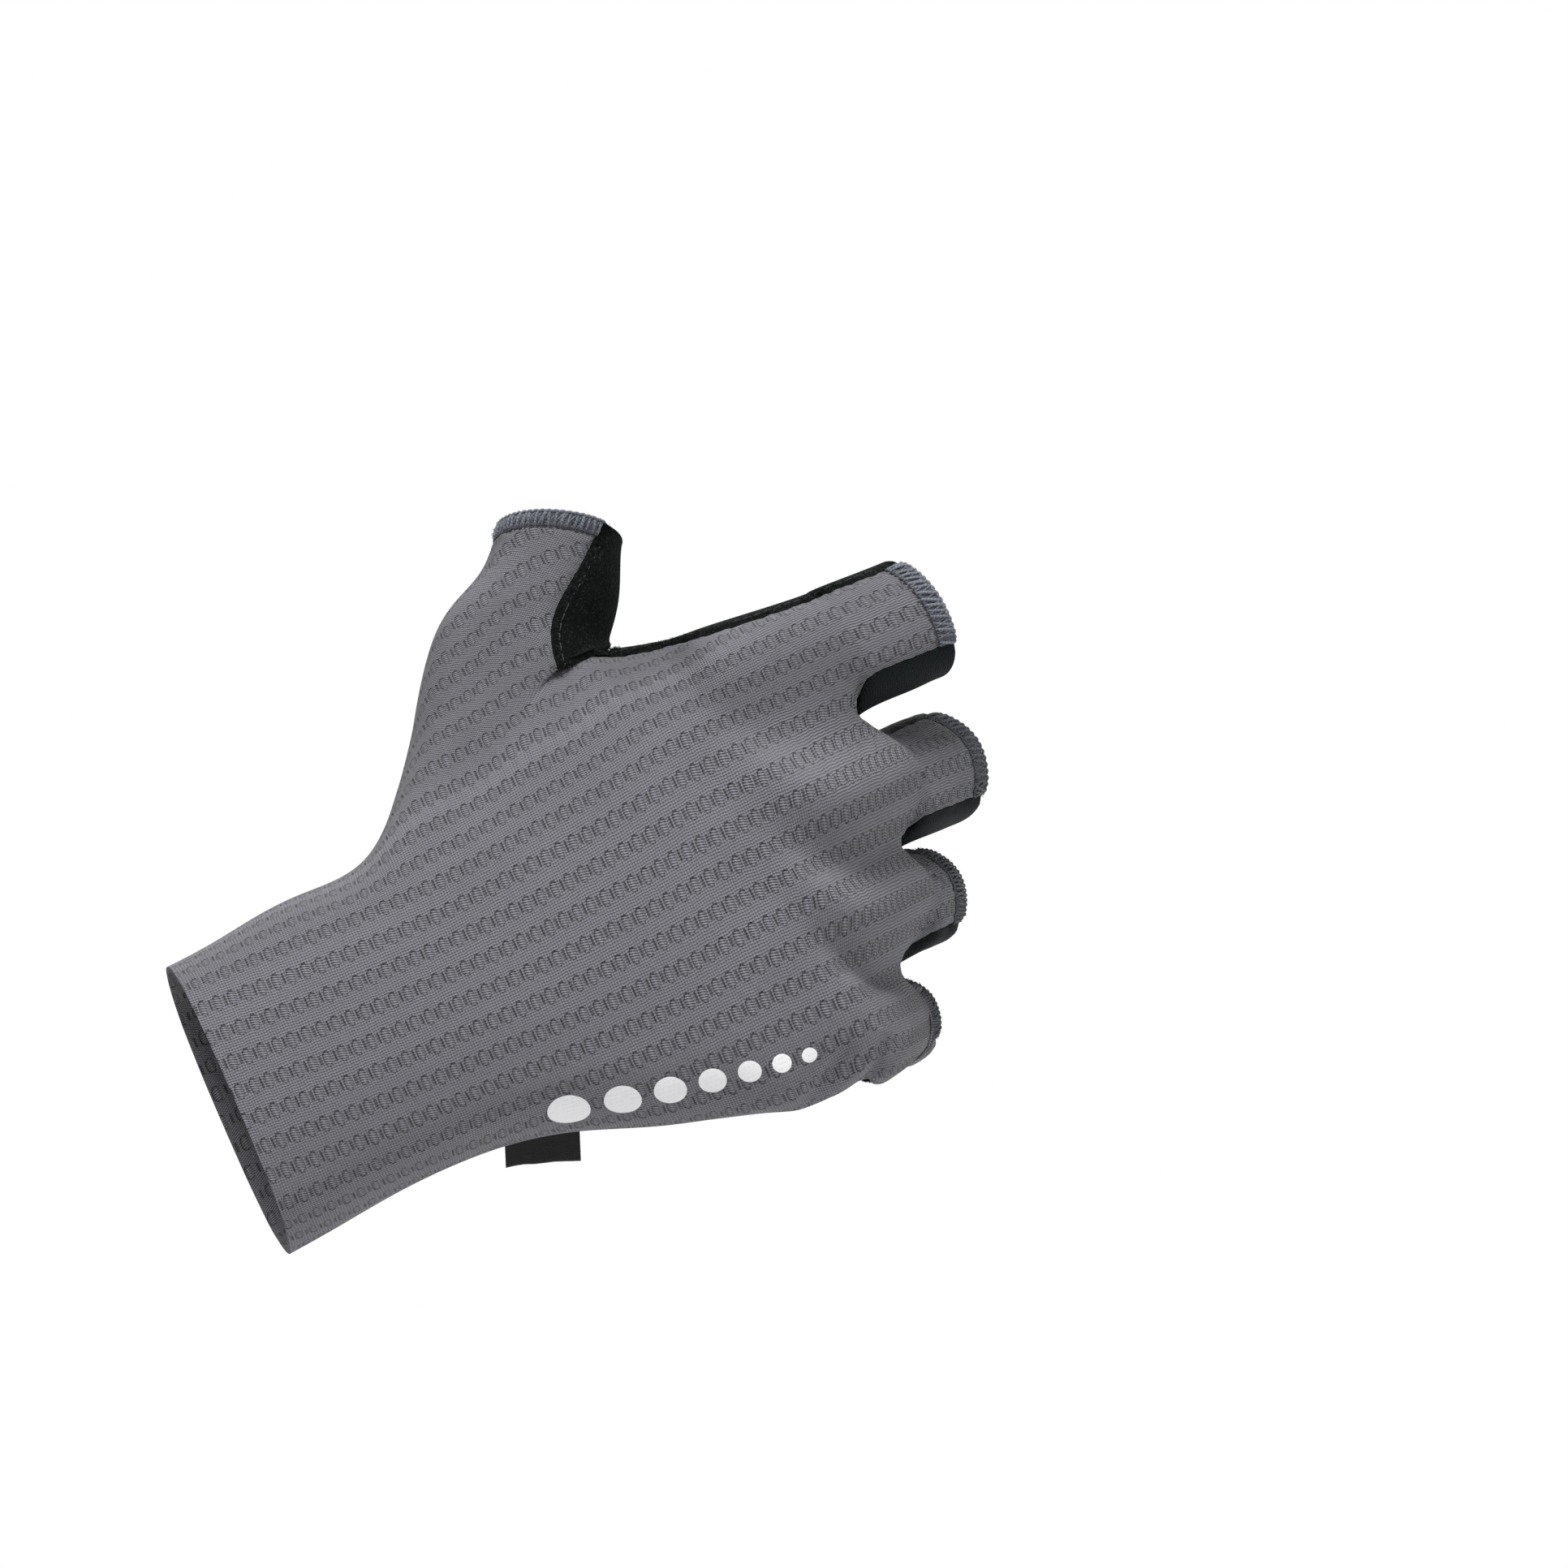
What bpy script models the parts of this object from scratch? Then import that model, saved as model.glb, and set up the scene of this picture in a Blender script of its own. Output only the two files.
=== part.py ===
"""A fingerless cycling glove for the right hand, in the form that it has when worn.

The hand points: the index finger is almost straight, the other fingers curl towards the palm and
the thumb stands up. +X runs from the cuff to the knuckles, +Z up to the thumb and -Y out of the back
of the hand. The origin is the middle of the cuff's mouth, where the wrist goes in.

One smooth skin is worked out from the tables below. Its faces are then cut up along the seams, and
each piece of cloth gets its own thickness.
"""

import math
from collections import namedtuple

import bmesh
import bpy
import numpy as np
from mathutils import Vector

MM = 0.001

# Driving sizes
PALM_REACH = 118.0 * MM  # cuff edge to the knuckles, along X
PALM_WIDTH = 90.0 * MM  # across the four knuckles
PALM_DEPTH = 34.0 * MM  # through the palm
KNIT_WALL = 1.1 * MM  # the stretch knit of the back
SUEDE_WALL = 1.3 * MM  # the microfibre suede of the palm
SIDE_WALL = 1.0 * MM  # the smooth cloth between the fingers
HEM_WALL = 1.9 * MM  # the turned and overlocked finger ends
HEM_WIDTH = 2.8 * MM
SEAM_GAP = 0.42 * MM
TAB_START = 0.377 * PALM_REACH  # from the cuff edge, along X
TAB_LENGTH = 14.0 * MM
TAB_SHORT_END = 4.6 * MM  # how far the tab stands off the seam at its end near the cuff
TAB_LONG_END = 7.2 * MM  # and at its other end
TAB_THICKNESS = 0.9 * MM
TAB_GAP = 0.35 * MM  # between the tab and the knit

# The palm's sections, from the cuff edge to the last one behind the knuckles. along is a share of
# PALM_REACH; top and foot are the heights of the thumb side and of the little finger's side, as
# shares of PALM_WIDTH; middle and half are the section's middle and half its thickness, as shares of
# PALM_DEPTH; roll turns the back of the hand up, in degrees; lean moves the back of the section on
# by this share of PALM_REACH, and its palm side back; corner is how far the back reaches towards the
# thumb side, as a share of the half width.
Section = namedtuple("Section", "along top foot middle half roll lean corner")
SECTIONS = (
    Section(0.000, 0.317, -0.317, 0.00, 0.610, 8, 0.024, 0.86),
    Section(0.100, 0.327, -0.304, 0.00, 0.590, 8, 0.010, 0.86),
    Section(0.230, 0.342, -0.290, 0.02, 0.575, 8, 0.000, 0.85),
    Section(0.360, 0.358, -0.294, 0.05, 0.560, 9, 0.000, 0.80),
    Section(0.485, 0.433, -0.330, 0.09, 0.560, 10, 0.000, 0.72),
    Section(0.615, 0.522, -0.390, 0.11, 0.550, 11, 0.000, 0.74),
    Section(0.748, 0.585, -0.440, 0.11, 0.520, 12, 0.000, 0.90),
    Section(0.830, 0.545, -0.476, 0.10, 0.480, 12, 0.000, 0.95),
    Section(0.915, 0.511, -0.470, 0.08, 0.450, 12, 0.010, 0.96),
)
THUMB_FIRST = 3  # the section where the thumb's root starts
THUMB_LAST = 7  # and the one where it ends, in the crotch

# Each finger's knuckle, as shares of PALM_REACH, PALM_DEPTH and PALM_WIDTH; how far it bends towards
# the palm, leans up and is rolled, in degrees; the reach of the web and of the hem from the knuckle,
# as shares of PALM_REACH; its radius at the knuckle, at the web and at the hem, as shares of
# PALM_WIDTH; how far its hem slants back towards the palm and towards the thumb's side; and how much
# of it the knit covers to each side of the middle of its back, all three in degrees.
Finger = namedtuple(
    "Finger", "name along depth across bend splay roll web_reach length knuckle web hem slant skew knit"
)
FINGERS = (
    Finger("index", 0.985, 0.20, 0.358, 20, -1.5, 14, 0.1525, 0.3220, 0.1489, 0.1356, 0.1322, 8, 8, 49),
    Finger("middle", 1.020, 0.00, 0.058, 56, -1.5, 10, 0.1695, 0.3542, 0.1589, 0.1200, 0.1200, 0, 0, 56),
    Finger("ring", 0.980, -0.03, -0.176, 64, -1.0, 8, 0.1949, 0.3178, 0.1489, 0.1044, 0.1044, 0, 0, 58),
    Finger("little", 0.955, -0.05, -0.375, 79, -4.0, 18, 0.1695, 0.2627, 0.1178, 0.0933, 0.0933, 0, 0, 58),
)
WEB_STEP = 4.0 * MM  # how soon after the web a finger has its full width of knit
HEM_LEAD = 0.36  # the share of a finger's free length that its last loop before the hem keeps from it
SUEDE_HALF_ANGLE = 48  # the suede covers this much of a finger to each side of the middle of its palm

# The thumb's loops, from its root to its hem: the outer and the inner point of its outline, along X
# as shares of PALM_REACH and along Z of PALM_WIDTH; its middle and half its thickness as shares of
# PALM_DEPTH; its turn about its own axis; and how far it slants back towards the palm, both in degrees.
ThumbLoop = namedtuple("ThumbLoop", "outer_x outer_z inner_x inner_z middle half turn slant")
THUMB_LOOPS = (
    ThumbLoop(0.478, 0.520, 0.834, 0.552, 0.36, 0.46, 2, 0),
    ThumbLoop(0.593, 0.718, 0.840, 0.572, 0.41, 0.40, -8, 6),
    ThumbLoop(0.686, 0.786, 0.878, 0.638, 0.43, 0.36, -6, 14),
    ThumbLoop(0.750, 0.862, 0.920, 0.738, 0.43, 0.34, 16, 20),
)

COLUMNS = 20  # points round a section, from the thumb side over the back
BACK_COLUMNS = 8
OUTER_CORNER = 0.86  # how far the back reaches towards the little finger's side
ROUNDNESS = 2.4  # 2 is an ellipse, and more is boxier
SKIN_LEVEL = 1
NORMAL_ROUNDS = 1
THUMB_POINTS = 12
THUMB_KNIT_START, THUMB_KNIT_END = 11, 4
THUMB_PATCH_END = 8

# Which piece of cloth a face belongs to. The order is that of the material slots.
PANELS = (
    "back_panel",
    "palm_panel",
    "crotch_patch",
    "side_index_middle",
    "side_middle_ring",
    "side_ring_little",
    "thumb_hem",
    "index_hem",
    "middle_hem",
    "ring_hem",
    "little_hem",
)
SLOT = {name: slot for slot, name in enumerate(PANELS)}
SIDES = PANELS[3:6]

# Colours, linear
KNIT_GREY = (0.145, 0.146, 0.162, 1.0)
SUEDE_BLACK = (0.010, 0.012, 0.011, 1.0)
SIDE_BLACK = (0.016, 0.021, 0.023, 1.0)
THREAD_GREY = (0.105, 0.120, 0.150, 1.0)
TAPE_BLACK = (0.012, 0.012, 0.014, 1.0)


def clear_scene():
    for obj in list(bpy.data.objects):
        bpy.data.objects.remove(obj, do_unlink=True)


def material(name, colour, roughness):
    """A plain Principled finish for one kind of cloth."""
    made = bpy.data.materials.new(name)
    made.use_nodes = True
    shader = made.node_tree.nodes["Principled BSDF"]
    shader.inputs["Base Color"].default_value = colour
    shader.inputs["Roughness"].default_value = roughness
    shader.inputs["Metallic"].default_value = 0.0
    made.diffuse_color = colour
    return made


class Skin:
    """The points and four-sided faces of the glove's outer skin, with a slot for each face."""

    def __init__(self):
        self.points = []
        self.faces = []
        self.slots = []

    def point(self, place):
        self.points.append(Vector(place))
        return len(self.points) - 1

    def face(self, corners, panel):
        self.faces.append(tuple(corners))
        self.slots.append(SLOT[panel])


def column_shares(column, corner):
    """A section point's place, as shares of the half width and of the half thickness."""
    half_turn = COLUMNS // 2
    mirrored = column if column <= half_turn else COLUMNS - column
    if mirrored == 0:
        return 1.0, 0.0
    if mirrored == half_turn:
        return -1.0, 0.0
    across = corner - (corner + OUTER_CORNER) * (mirrored - 1) / BACK_COLUMNS
    through = (1 - abs(across) ** ROUNDNESS) ** (1 / ROUNDNESS)
    return across, -through if column <= half_turn else through


def section_point(section, column):
    """A point of a palm section. The roll takes the thumb side away from -Y, so the back looks up."""
    across, through = column_shares(column, section.corner)
    roll = math.radians(section.roll)
    half_width = (section.top - section.foot) / 2 * PALM_WIDTH / math.cos(roll)
    half_depth = section.half * PALM_DEPTH
    middle_z = (section.top + section.foot) / 2 * PALM_WIDTH
    return Vector(
        (
            (section.along - section.lean * through) * PALM_REACH,
            section.middle * PALM_DEPTH
            + across * half_width * math.sin(roll)
            + through * half_depth * math.cos(roll),
            middle_z
            + across * half_width * math.cos(roll)
            - through * half_depth * math.sin(roll),
        )
    )


def finger_axes(finger, bend):
    """A finger's own directions at this bend: along it, out of its back, and to its thumb side."""
    bend, splay, roll = (math.radians(a) for a in (bend, finger.splay, finger.roll))
    along = Vector((math.cos(bend) * math.cos(splay), math.sin(bend) * math.cos(splay), math.sin(splay)))
    level_back = Vector((math.sin(bend), -math.cos(bend), 0.0))
    level_side = along.cross(level_back).normalized()
    level_side = level_side if level_side.z > 0 else -level_side
    back = level_back * math.cos(roll) + level_side * math.sin(roll)
    side = level_side * math.cos(roll) - level_back * math.sin(roll)
    return along, back, side


def knuckle(finger):
    return Vector((finger.along * PALM_REACH, finger.depth * PALM_DEPTH, finger.across * PALM_WIDTH))


def finger_angles(finger):
    """A finger's eight points, as degrees from the middle of its back towards its thumb side."""
    suede = 180 - SUEDE_HALF_ANGLE
    side = (finger.knit + suede) / 2
    return (finger.knit, 0, -finger.knit, -side, -suede, 180, suede, side)


def finger_loop(finger, reach, radius, bend, slope=0.0):
    """The eight points of a finger's loop at a reach from the knuckle, with its radius as a share of
    PALM_WIDTH. Slope is the share of its hem's slant and skew that it takes."""
    straight_along, _, _ = finger_axes(finger, finger.bend)
    along, back, side = finger_axes(finger, bend)
    middle = knuckle(finger) + straight_along * reach
    loop = []
    for angle in finger_angles(finger):
        turn = math.radians(angle)
        out = back * math.cos(turn) + side * math.sin(turn)
        forward = math.tan(math.radians(finger.slant)) * math.cos(turn)
        forward -= math.tan(math.radians(finger.skew)) * math.sin(turn)
        loop.append(middle + (out + along * forward * slope) * radius * PALM_WIDTH)
    return loop


def thumb_loop(loop):
    """The twelve points of a thumb loop, from its outer side over its back."""
    outer = Vector((loop.outer_x * PALM_REACH, loop.middle * PALM_DEPTH, loop.outer_z * PALM_WIDTH))
    inner = Vector((loop.inner_x * PALM_REACH, loop.middle * PALM_DEPTH, loop.inner_z * PALM_WIDTH))
    middle = (outer + inner) / 2
    across = (inner - outer) / 2
    along = Vector((-across.z, 0.0, across.x)).normalized()
    points = []
    for k in range(THUMB_POINTS):
        turn = 2 * math.pi * k / THUMB_POINTS + math.radians(loop.turn)
        depth = math.sin(turn) * loop.half * PALM_DEPTH
        forward = along * math.tan(math.radians(loop.slant)) * depth
        points.append(middle - across * math.cos(turn) + Vector((0.0, -depth, 0.0)) + forward)
    return points


def average(*places):
    return sum(places, Vector()) / len(places)


def palm_panel_of(row, column):
    """The piece of cloth that the face between two sections and two columns is cut from."""
    if row < THUMB_FIRST:
        return "back_panel"
    if 1 <= column <= 10:
        return "back_panel"
    return "palm_panel"


def finger_ring(loops):
    """A ring of 20 section points from the four fingers' loops. Between two fingers it takes the
    middle of their two corners."""
    index, middle, ring, little = loops
    ring_points = [index[7], index[0], index[1]]
    ring_points += [average(index[2], middle[0]), middle[1]]
    ring_points += [average(middle[2], ring[0]), ring[1]]
    ring_points += [average(ring[2], little[0]), little[1]]
    ring_points += [little[2], little[3], little[4], little[5]]
    ring_points += [average(little[6], ring[4]), ring[5]]
    ring_points += [average(ring[6], middle[4]), middle[5]]
    ring_points += [average(middle[6], index[4]), index[5], index[6]]
    return ring_points


def build_palm(skin):
    """The palm's rows of points, with a hole where the thumb grows out. Returns rows of indices."""
    rows = []
    for number, section in enumerate(SECTIONS):
        inside_thumb = THUMB_FIRST < number < THUMB_LAST
        rows.append(
            [
                None if inside_thumb and column == 0 else skin.point(section_point(section, column))
                for column in range(COLUMNS)
            ]
        )
    knuckles = [finger_loop(f, 0.0, f.knuckle, f.bend / 2) for f in FINGERS]
    webs = [finger_loop(f, f.web_reach * PALM_REACH, f.web, f.bend) for f in FINGERS]
    for loops in (knuckles, webs):
        rows.append([skin.point(place) for place in finger_ring(loops)])
    for row in range(len(rows) - 1):
        for column in range(COLUMNS):
            after = (column + 1) % COLUMNS
            in_hole = THUMB_FIRST <= row < THUMB_LAST and column in (0, COLUMNS - 1)
            if not in_hole:
                corners = (rows[row][column], rows[row][after], rows[row + 1][after], rows[row + 1][column])
                skin.face(corners, palm_panel_of(row, column))
    forks = [
        skin.point(average(webs[f][3], webs[f + 1][7])) for f in range(len(FINGERS) - 1)
    ]
    return rows, forks


def finger_starts(web_row, forks):
    """The eight shared points at the web that each finger starts from, in the order of its loop."""
    r = web_row
    first, second, third = forks
    return (
        (r[1], r[2], r[3], first, r[17], r[18], r[19], r[0]),
        (r[3], r[4], r[5], second, r[15], r[16], r[17], first),
        (r[5], r[6], r[7], third, r[13], r[14], r[15], second),
        (r[7], r[8], r[9], r[10], r[11], r[12], r[13], third),
    )


def finger_panel(number, side, at_hem):
    """The piece of cloth of one side of a finger. Sides 0 and 1 are its back, 4 and 5 its palm."""
    if side in (0, 1):
        return FINGERS[number].name + "_hem" if at_hem else "back_panel"
    if side in (4, 5):
        return "palm_panel"
    if side in (2, 3):
        return SIDES[number] if number < len(SIDES) else "back_panel"
    return SIDES[number - 1] if number > 0 else "palm_panel"


def join_loops(skin, before, after, panel_of):
    count = len(before)
    for k in range(count):
        n = (k + 1) % count
        skin.face((before[k], before[n], after[n], after[k]), panel_of(k))


def build_fingers(skin, starts):
    for number, finger in enumerate(FINGERS):
        before = starts[number]
        hem_end = finger.length * PALM_REACH
        hem_start = hem_end - HEM_WIDTH
        web_end = finger.web_reach * PALM_REACH + WEB_STEP
        before_hem = hem_start + (web_end - hem_start) * HEM_LEAD
        stations = (
            (web_end, finger.web, 0.3, False),
            (before_hem, finger.web + (finger.hem - finger.web) * (1 - HEM_LEAD), 0.8, False),
            (hem_start, finger.hem, 1.0, False),
            (hem_end, finger.hem, 1.0, True),
        )
        for reach, radius, slope, at_hem in stations:
            places = finger_loop(finger, reach, radius, finger.bend, slope)
            after = [skin.point(place) for place in places]
            join_loops(skin, before, after, lambda side: finger_panel(number, side, at_hem))
            before = after


def thumb_panel(side, at_hem):
    if side >= THUMB_KNIT_START or side < THUMB_KNIT_END:
        return "thumb_hem" if at_hem else "back_panel"
    return "crotch_patch" if side < THUMB_PATCH_END else "palm_panel"


def build_thumb(skin, rows):
    """The thumb grows out of the hole that the palm's rows leave."""
    near, far = rows[THUMB_FIRST], rows[THUMB_LAST]
    over_back = [rows[r][1] for r in range(THUMB_FIRST, THUMB_LAST + 1)]
    under_palm = [rows[r][COLUMNS - 1] for r in range(THUMB_LAST, THUMB_FIRST - 1, -1)]
    before = [near[0], *over_back, far[0], *under_palm]
    loops = [thumb_loop(loop) for loop in THUMB_LOOPS]
    start, end = loops[-2], loops[-1]
    hem_share = HEM_WIDTH / ((end[3] - start[3]).length)
    hem_line = [s.lerp(e, 1 - hem_share) for s, e in zip(start, end)]
    loops.insert(-1, hem_line)
    for number, places in enumerate(loops):
        after = [skin.point(place) for place in places]
        at_hem = number == len(loops) - 1
        join_loops(skin, before, after, lambda side: thumb_panel(side, at_hem))
        before = after


def smoothing_shares(count, faces):
    """The Catmull-Clark rule as a matrix: where the smooth surface puts each cage point. All faces
    have four sides."""
    shares = np.zeros((count, count))
    sides = np.zeros(count)
    uses = {}
    for face in faces:
        for k in range(4):
            here, after, across = face[k], face[(k + 1) % 4], face[(k + 2) % 4]
            shares[here, across] += 1
            sides[here] += 1
            uses[frozenset((here, after))] = uses.get(frozenset((here, after)), 0) + 1
    for a, b in uses:
        shares[a, b] += 4
        shares[b, a] += 4
    shares[range(count), range(count)] += sides**2
    shares /= (sides * (sides + 5))[:, None]
    rim = [tuple(edge) for edge, count_of in uses.items() if count_of == 1]
    for point in {point for edge in rim for point in edge}:
        shares[point] = 0
        shares[point, point] = 4 / 6
    for a, b in rim:
        shares[a, b] = shares[b, a] = 1 / 6
    return shares


def fitted_cage(skin):
    """The cage whose smooth surface passes through the tables' points."""
    wanted = np.array([tuple(p) for p in skin.points])
    return np.linalg.solve(smoothing_shares(len(wanted), skin.faces), wanted)


def skin_mesh(skin):
    """The skin as a mesh, smoothed by Subdivision Surface. It is only a pattern for the pieces."""
    mesh = bpy.data.meshes.new("skin")
    mesh.from_pydata([tuple(p) for p in fitted_cage(skin)], [], skin.faces)
    for name in PANELS:
        mesh.materials.append(bpy.data.materials.new("pattern_" + name))
    mesh.polygons.foreach_set("material_index", skin.slots)
    obj = bpy.data.objects.new("skin", mesh)
    bpy.context.scene.collection.objects.link(obj)
    smoothing = obj.modifiers.new("smoothing", "SUBSURF")
    smoothing.levels = smoothing.render_levels = SKIN_LEVEL
    graph = bpy.context.evaluated_depsgraph_get()
    smooth = bpy.data.meshes.new_from_object(obj.evaluated_get(graph))
    bpy.data.objects.remove(obj)
    return smooth


def seam_steps(bm, kept, normals):
    """How far each seam point of a piece moves, so that two pieces keep the seam gap between them.
    Each moves square to the skin's own direction there, so the cut edges stay side by side."""
    steps = {}
    for edge in bm.edges:
        if len(edge.link_faces) == 1 or sum(f in kept for f in edge.link_faces) != 1:
            continue
        loop = next(l for l in edge.link_loops if l.face in kept)
        onward = loop.link_loop_next.vert.co - loop.vert.co
        for vert in edge.verts:
            inward = normals[vert.index].cross(onward).normalized()
            steps.setdefault(vert.index, []).append(inward)
    moved = {}
    for vert, directions in steps.items():
        mean = sum(directions, Vector())
        share = max(mean.length / len(directions), 0.5)
        moved[vert] = mean.normalized() * (SEAM_GAP / 2 / share)
    return moved


def wall_directions(bm):
    """The way out of the skin at each point, evened out so that walls don't cross at a tight fold."""
    normals = {v.index: v.normal.copy() for v in bm.verts}
    for _ in range(NORMAL_ROUNDS):
        evened = {}
        for vert in bm.verts:
            around = [normals[e.other_vert(vert).index] for e in vert.link_edges]
            evened[vert.index] = (normals[vert.index] * 2 + average(*around)).normalized()
        normals = evened
    return normals


def split_cut_edges(bm, outside, order):
    """Cuts each face of a wall's rim from corner to corner, the same way in the piece beside it. Where
    the seam twists, two rims split in different ways would run through each other."""
    for face in bm.faces[:]:
        outer = [v for v in face.verts if v in outside]
        inner = [v for v in face.verts if v not in outside]
        if outer and inner:
            start = min(outer, key=lambda v: v[order])
            end = max(inner, key=lambda v: v[order])
            bmesh.utils.face_split(face, start, end)


def cloth_piece(name, pattern, wall, proud, finish, collection):
    """Cuts one piece out of the skin and gives it a wall, which stands proud of the skin by a little."""
    bm = bmesh.new()
    bm.from_mesh(pattern)
    bm.verts.ensure_lookup_table()
    bm.normal_update()
    kept = {f for f in bm.faces if f.material_index == SLOT[name]}
    normals = wall_directions(bm)
    moved = seam_steps(bm, kept, normals)
    for index, step in moved.items():
        bm.verts[index].co += step
    for vert in bm.verts:
        vert.co += normals[vert.index] * proud
    inward = bm.verts.layers.float_vector.new("inward")
    order = bm.verts.layers.int.new("order")
    for vert in bm.verts:
        vert[inward] = -normals[vert.index] * wall
        vert[order] = vert.index
    bmesh.ops.delete(bm, geom=[f for f in bm.faces if f not in kept], context="FACES")
    outside = set(bm.verts)
    thickened = bmesh.ops.extrude_face_region(bm, geom=bm.faces[:], use_keep_orig=True)
    for element in thickened["geom"]:
        if isinstance(element, bmesh.types.BMVert):
            element.co += element[inward]
    split_cut_edges(bm, outside, order)
    bmesh.ops.recalc_face_normals(bm, faces=bm.faces[:])
    if bm.calc_volume(signed=True) < 0:
        bmesh.ops.reverse_faces(bm, faces=bm.faces[:])
    mesh = bpy.data.meshes.new(name)
    bm.to_mesh(mesh)
    bm.free()
    mesh.materials.clear()
    mesh.materials.append(finish)
    mesh.polygons.foreach_set("material_index", [0] * len(mesh.polygons))
    obj = bpy.data.objects.new(name, mesh)
    collection.objects.link(obj)
    mesh.shade_smooth()
    mesh.set_sharp_from_angle(angle=math.radians(60))
    return obj


def seam_line(pattern, first, second):
    """The points and outward directions along the seam between two pieces, in order."""
    bm = bmesh.new()
    bm.from_mesh(pattern)
    bm.normal_update()
    first, second = SLOT[first], SLOT[second]
    ties = {}
    for edge in bm.edges:
        slots = sorted(f.material_index for f in edge.link_faces)
        if slots == sorted((first, second)):
            a, b = edge.verts
            ties.setdefault(a.index, []).append(b.index)
            ties.setdefault(b.index, []).append(a.index)
    places = {v.index: (v.co.copy(), v.normal.copy()) for v in bm.verts}
    bm.free()
    lines = []
    left = set(ties)
    while left:
        ends = sorted(v for v in left if len(ties[v]) == 1)
        here = ends[0] if ends else min(left)
        line = [here]
        left.discard(here)
        while True:
            onward = [v for v in ties[here] if v in left]
            if not onward:
                break
            here = onward[0]
            line.append(here)
            left.discard(here)
        lines.append([places[v] for v in line])
    return lines


def place_on(line, x):
    """The point and the outward direction of a seam at this X."""
    for (start, first), (end, last) in zip(line, line[1:]):
        low, high = sorted((start.x, end.x))
        if low <= x <= high and high > low:
            share = (x - start.x) / (end.x - start.x)
            return start.lerp(end, share), first.lerp(last, share).normalized()
    raise ValueError("the seam doesn't reach this place")


def side_tab(pattern, finish, collection):
    """The blank folded tape in the seam of the little finger's side. It leans back to the cuff."""
    lines = seam_line(pattern, "back_panel", "palm_panel")
    line = min(lines, key=lambda points: min(place.z for place, _ in points))
    steps = 6
    bm = bmesh.new()
    rows = []
    for k in range(steps + 1):
        share = k / steps
        place, outward = place_on(line, TAB_START + TAB_LENGTH * share)
        reach = TAB_SHORT_END + (TAB_LONG_END - TAB_SHORT_END) * share
        away = Vector((-0.40, 0.25, -1.0)).normalized()
        root = place + outward * (TAB_GAP + TAB_THICKNESS / 2)
        half = Vector((0.0, TAB_THICKNESS / 2, 0.0))
        tip = root + away * reach
        rows.append([bm.verts.new(p) for p in (root - half, tip - half, tip + half, root + half)])
    for before, after in zip(rows, rows[1:]):
        for k in range(4):
            n = (k + 1) % 4
            bm.faces.new((before[k], before[n], after[n], after[k]))
    bm.faces.new(rows[0])
    bm.faces.new(rows[-1])
    bmesh.ops.recalc_face_normals(bm, faces=bm.faces[:])
    mesh = bpy.data.meshes.new("side_tab")
    bm.to_mesh(mesh)
    bm.free()
    mesh.materials.append(finish)
    obj = bpy.data.objects.new("side_tab", mesh)
    collection.objects.link(obj)
    return obj


def build_glove():
    clear_scene()
    collection = bpy.data.collections.new("cycling_glove")
    bpy.context.scene.collection.children.link(collection)
    knit = material("knit", KNIT_GREY, 0.85)
    suede = material("suede", SUEDE_BLACK, 0.95)
    smooth_cloth = material("side_cloth", SIDE_BLACK, 0.7)
    thread = material("hem_thread", THREAD_GREY, 0.8)
    tape = material("tape", TAPE_BLACK, 0.75)
    skin = Skin()
    rows, forks = build_palm(skin)
    build_fingers(skin, finger_starts(rows[-1], forks))
    build_thumb(skin, rows)
    pattern = skin_mesh(skin)
    for name in PANELS:
        if name.endswith("_hem"):
            cloth_piece(name, pattern, HEM_WALL, (HEM_WALL - KNIT_WALL) / 2, thread, collection)
        elif name in SIDES:
            cloth_piece(name, pattern, SIDE_WALL, 0.0, smooth_cloth, collection)
        elif name == "back_panel":
            cloth_piece(name, pattern, KNIT_WALL, 0.0, knit, collection)
        else:
            cloth_piece(name, pattern, SUEDE_WALL, 0.0, suede, collection)
    side_tab(pattern, tape, collection)


build_glove()
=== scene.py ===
"""A fingerless cycling glove for the right hand, dressed for the picture.

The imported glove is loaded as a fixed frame. Every piece of cloth is cut again from the same smooth
skin as the CAD solids, at a finer step, and gets its knit, nap, threads and stitches here.
"""

import math
from collections import namedtuple

import bmesh
import bpy
import numpy as np
from bpy.props import BoolProperty, FloatProperty, FloatVectorProperty, IntProperty, PointerProperty
from mathutils import Matrix, Vector
from mathutils.bvhtree import BVHTree


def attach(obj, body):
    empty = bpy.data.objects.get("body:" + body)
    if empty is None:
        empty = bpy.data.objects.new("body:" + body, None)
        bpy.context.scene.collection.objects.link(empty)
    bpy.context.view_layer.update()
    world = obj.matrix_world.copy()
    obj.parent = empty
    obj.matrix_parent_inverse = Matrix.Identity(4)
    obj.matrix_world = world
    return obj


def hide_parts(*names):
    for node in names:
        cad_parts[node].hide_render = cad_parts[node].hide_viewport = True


bl_info = {
    "name": "Cycling glove",
    "version": (1, 0, 0),
    "blender": (4, 5, 0),
    "location": "3D View > Sidebar > Glove",
    "description": "Dresses the fingerless cycling glove: knit, suede, side cloths, hems, seams and stage",
    "category": "Object",
}

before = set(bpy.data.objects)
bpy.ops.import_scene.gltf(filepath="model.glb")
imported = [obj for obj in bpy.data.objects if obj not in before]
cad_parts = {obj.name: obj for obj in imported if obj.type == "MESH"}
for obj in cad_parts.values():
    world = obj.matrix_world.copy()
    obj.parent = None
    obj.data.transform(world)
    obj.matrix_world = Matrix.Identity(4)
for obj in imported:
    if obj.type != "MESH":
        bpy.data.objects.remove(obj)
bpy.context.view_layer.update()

MM = 0.001

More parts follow.
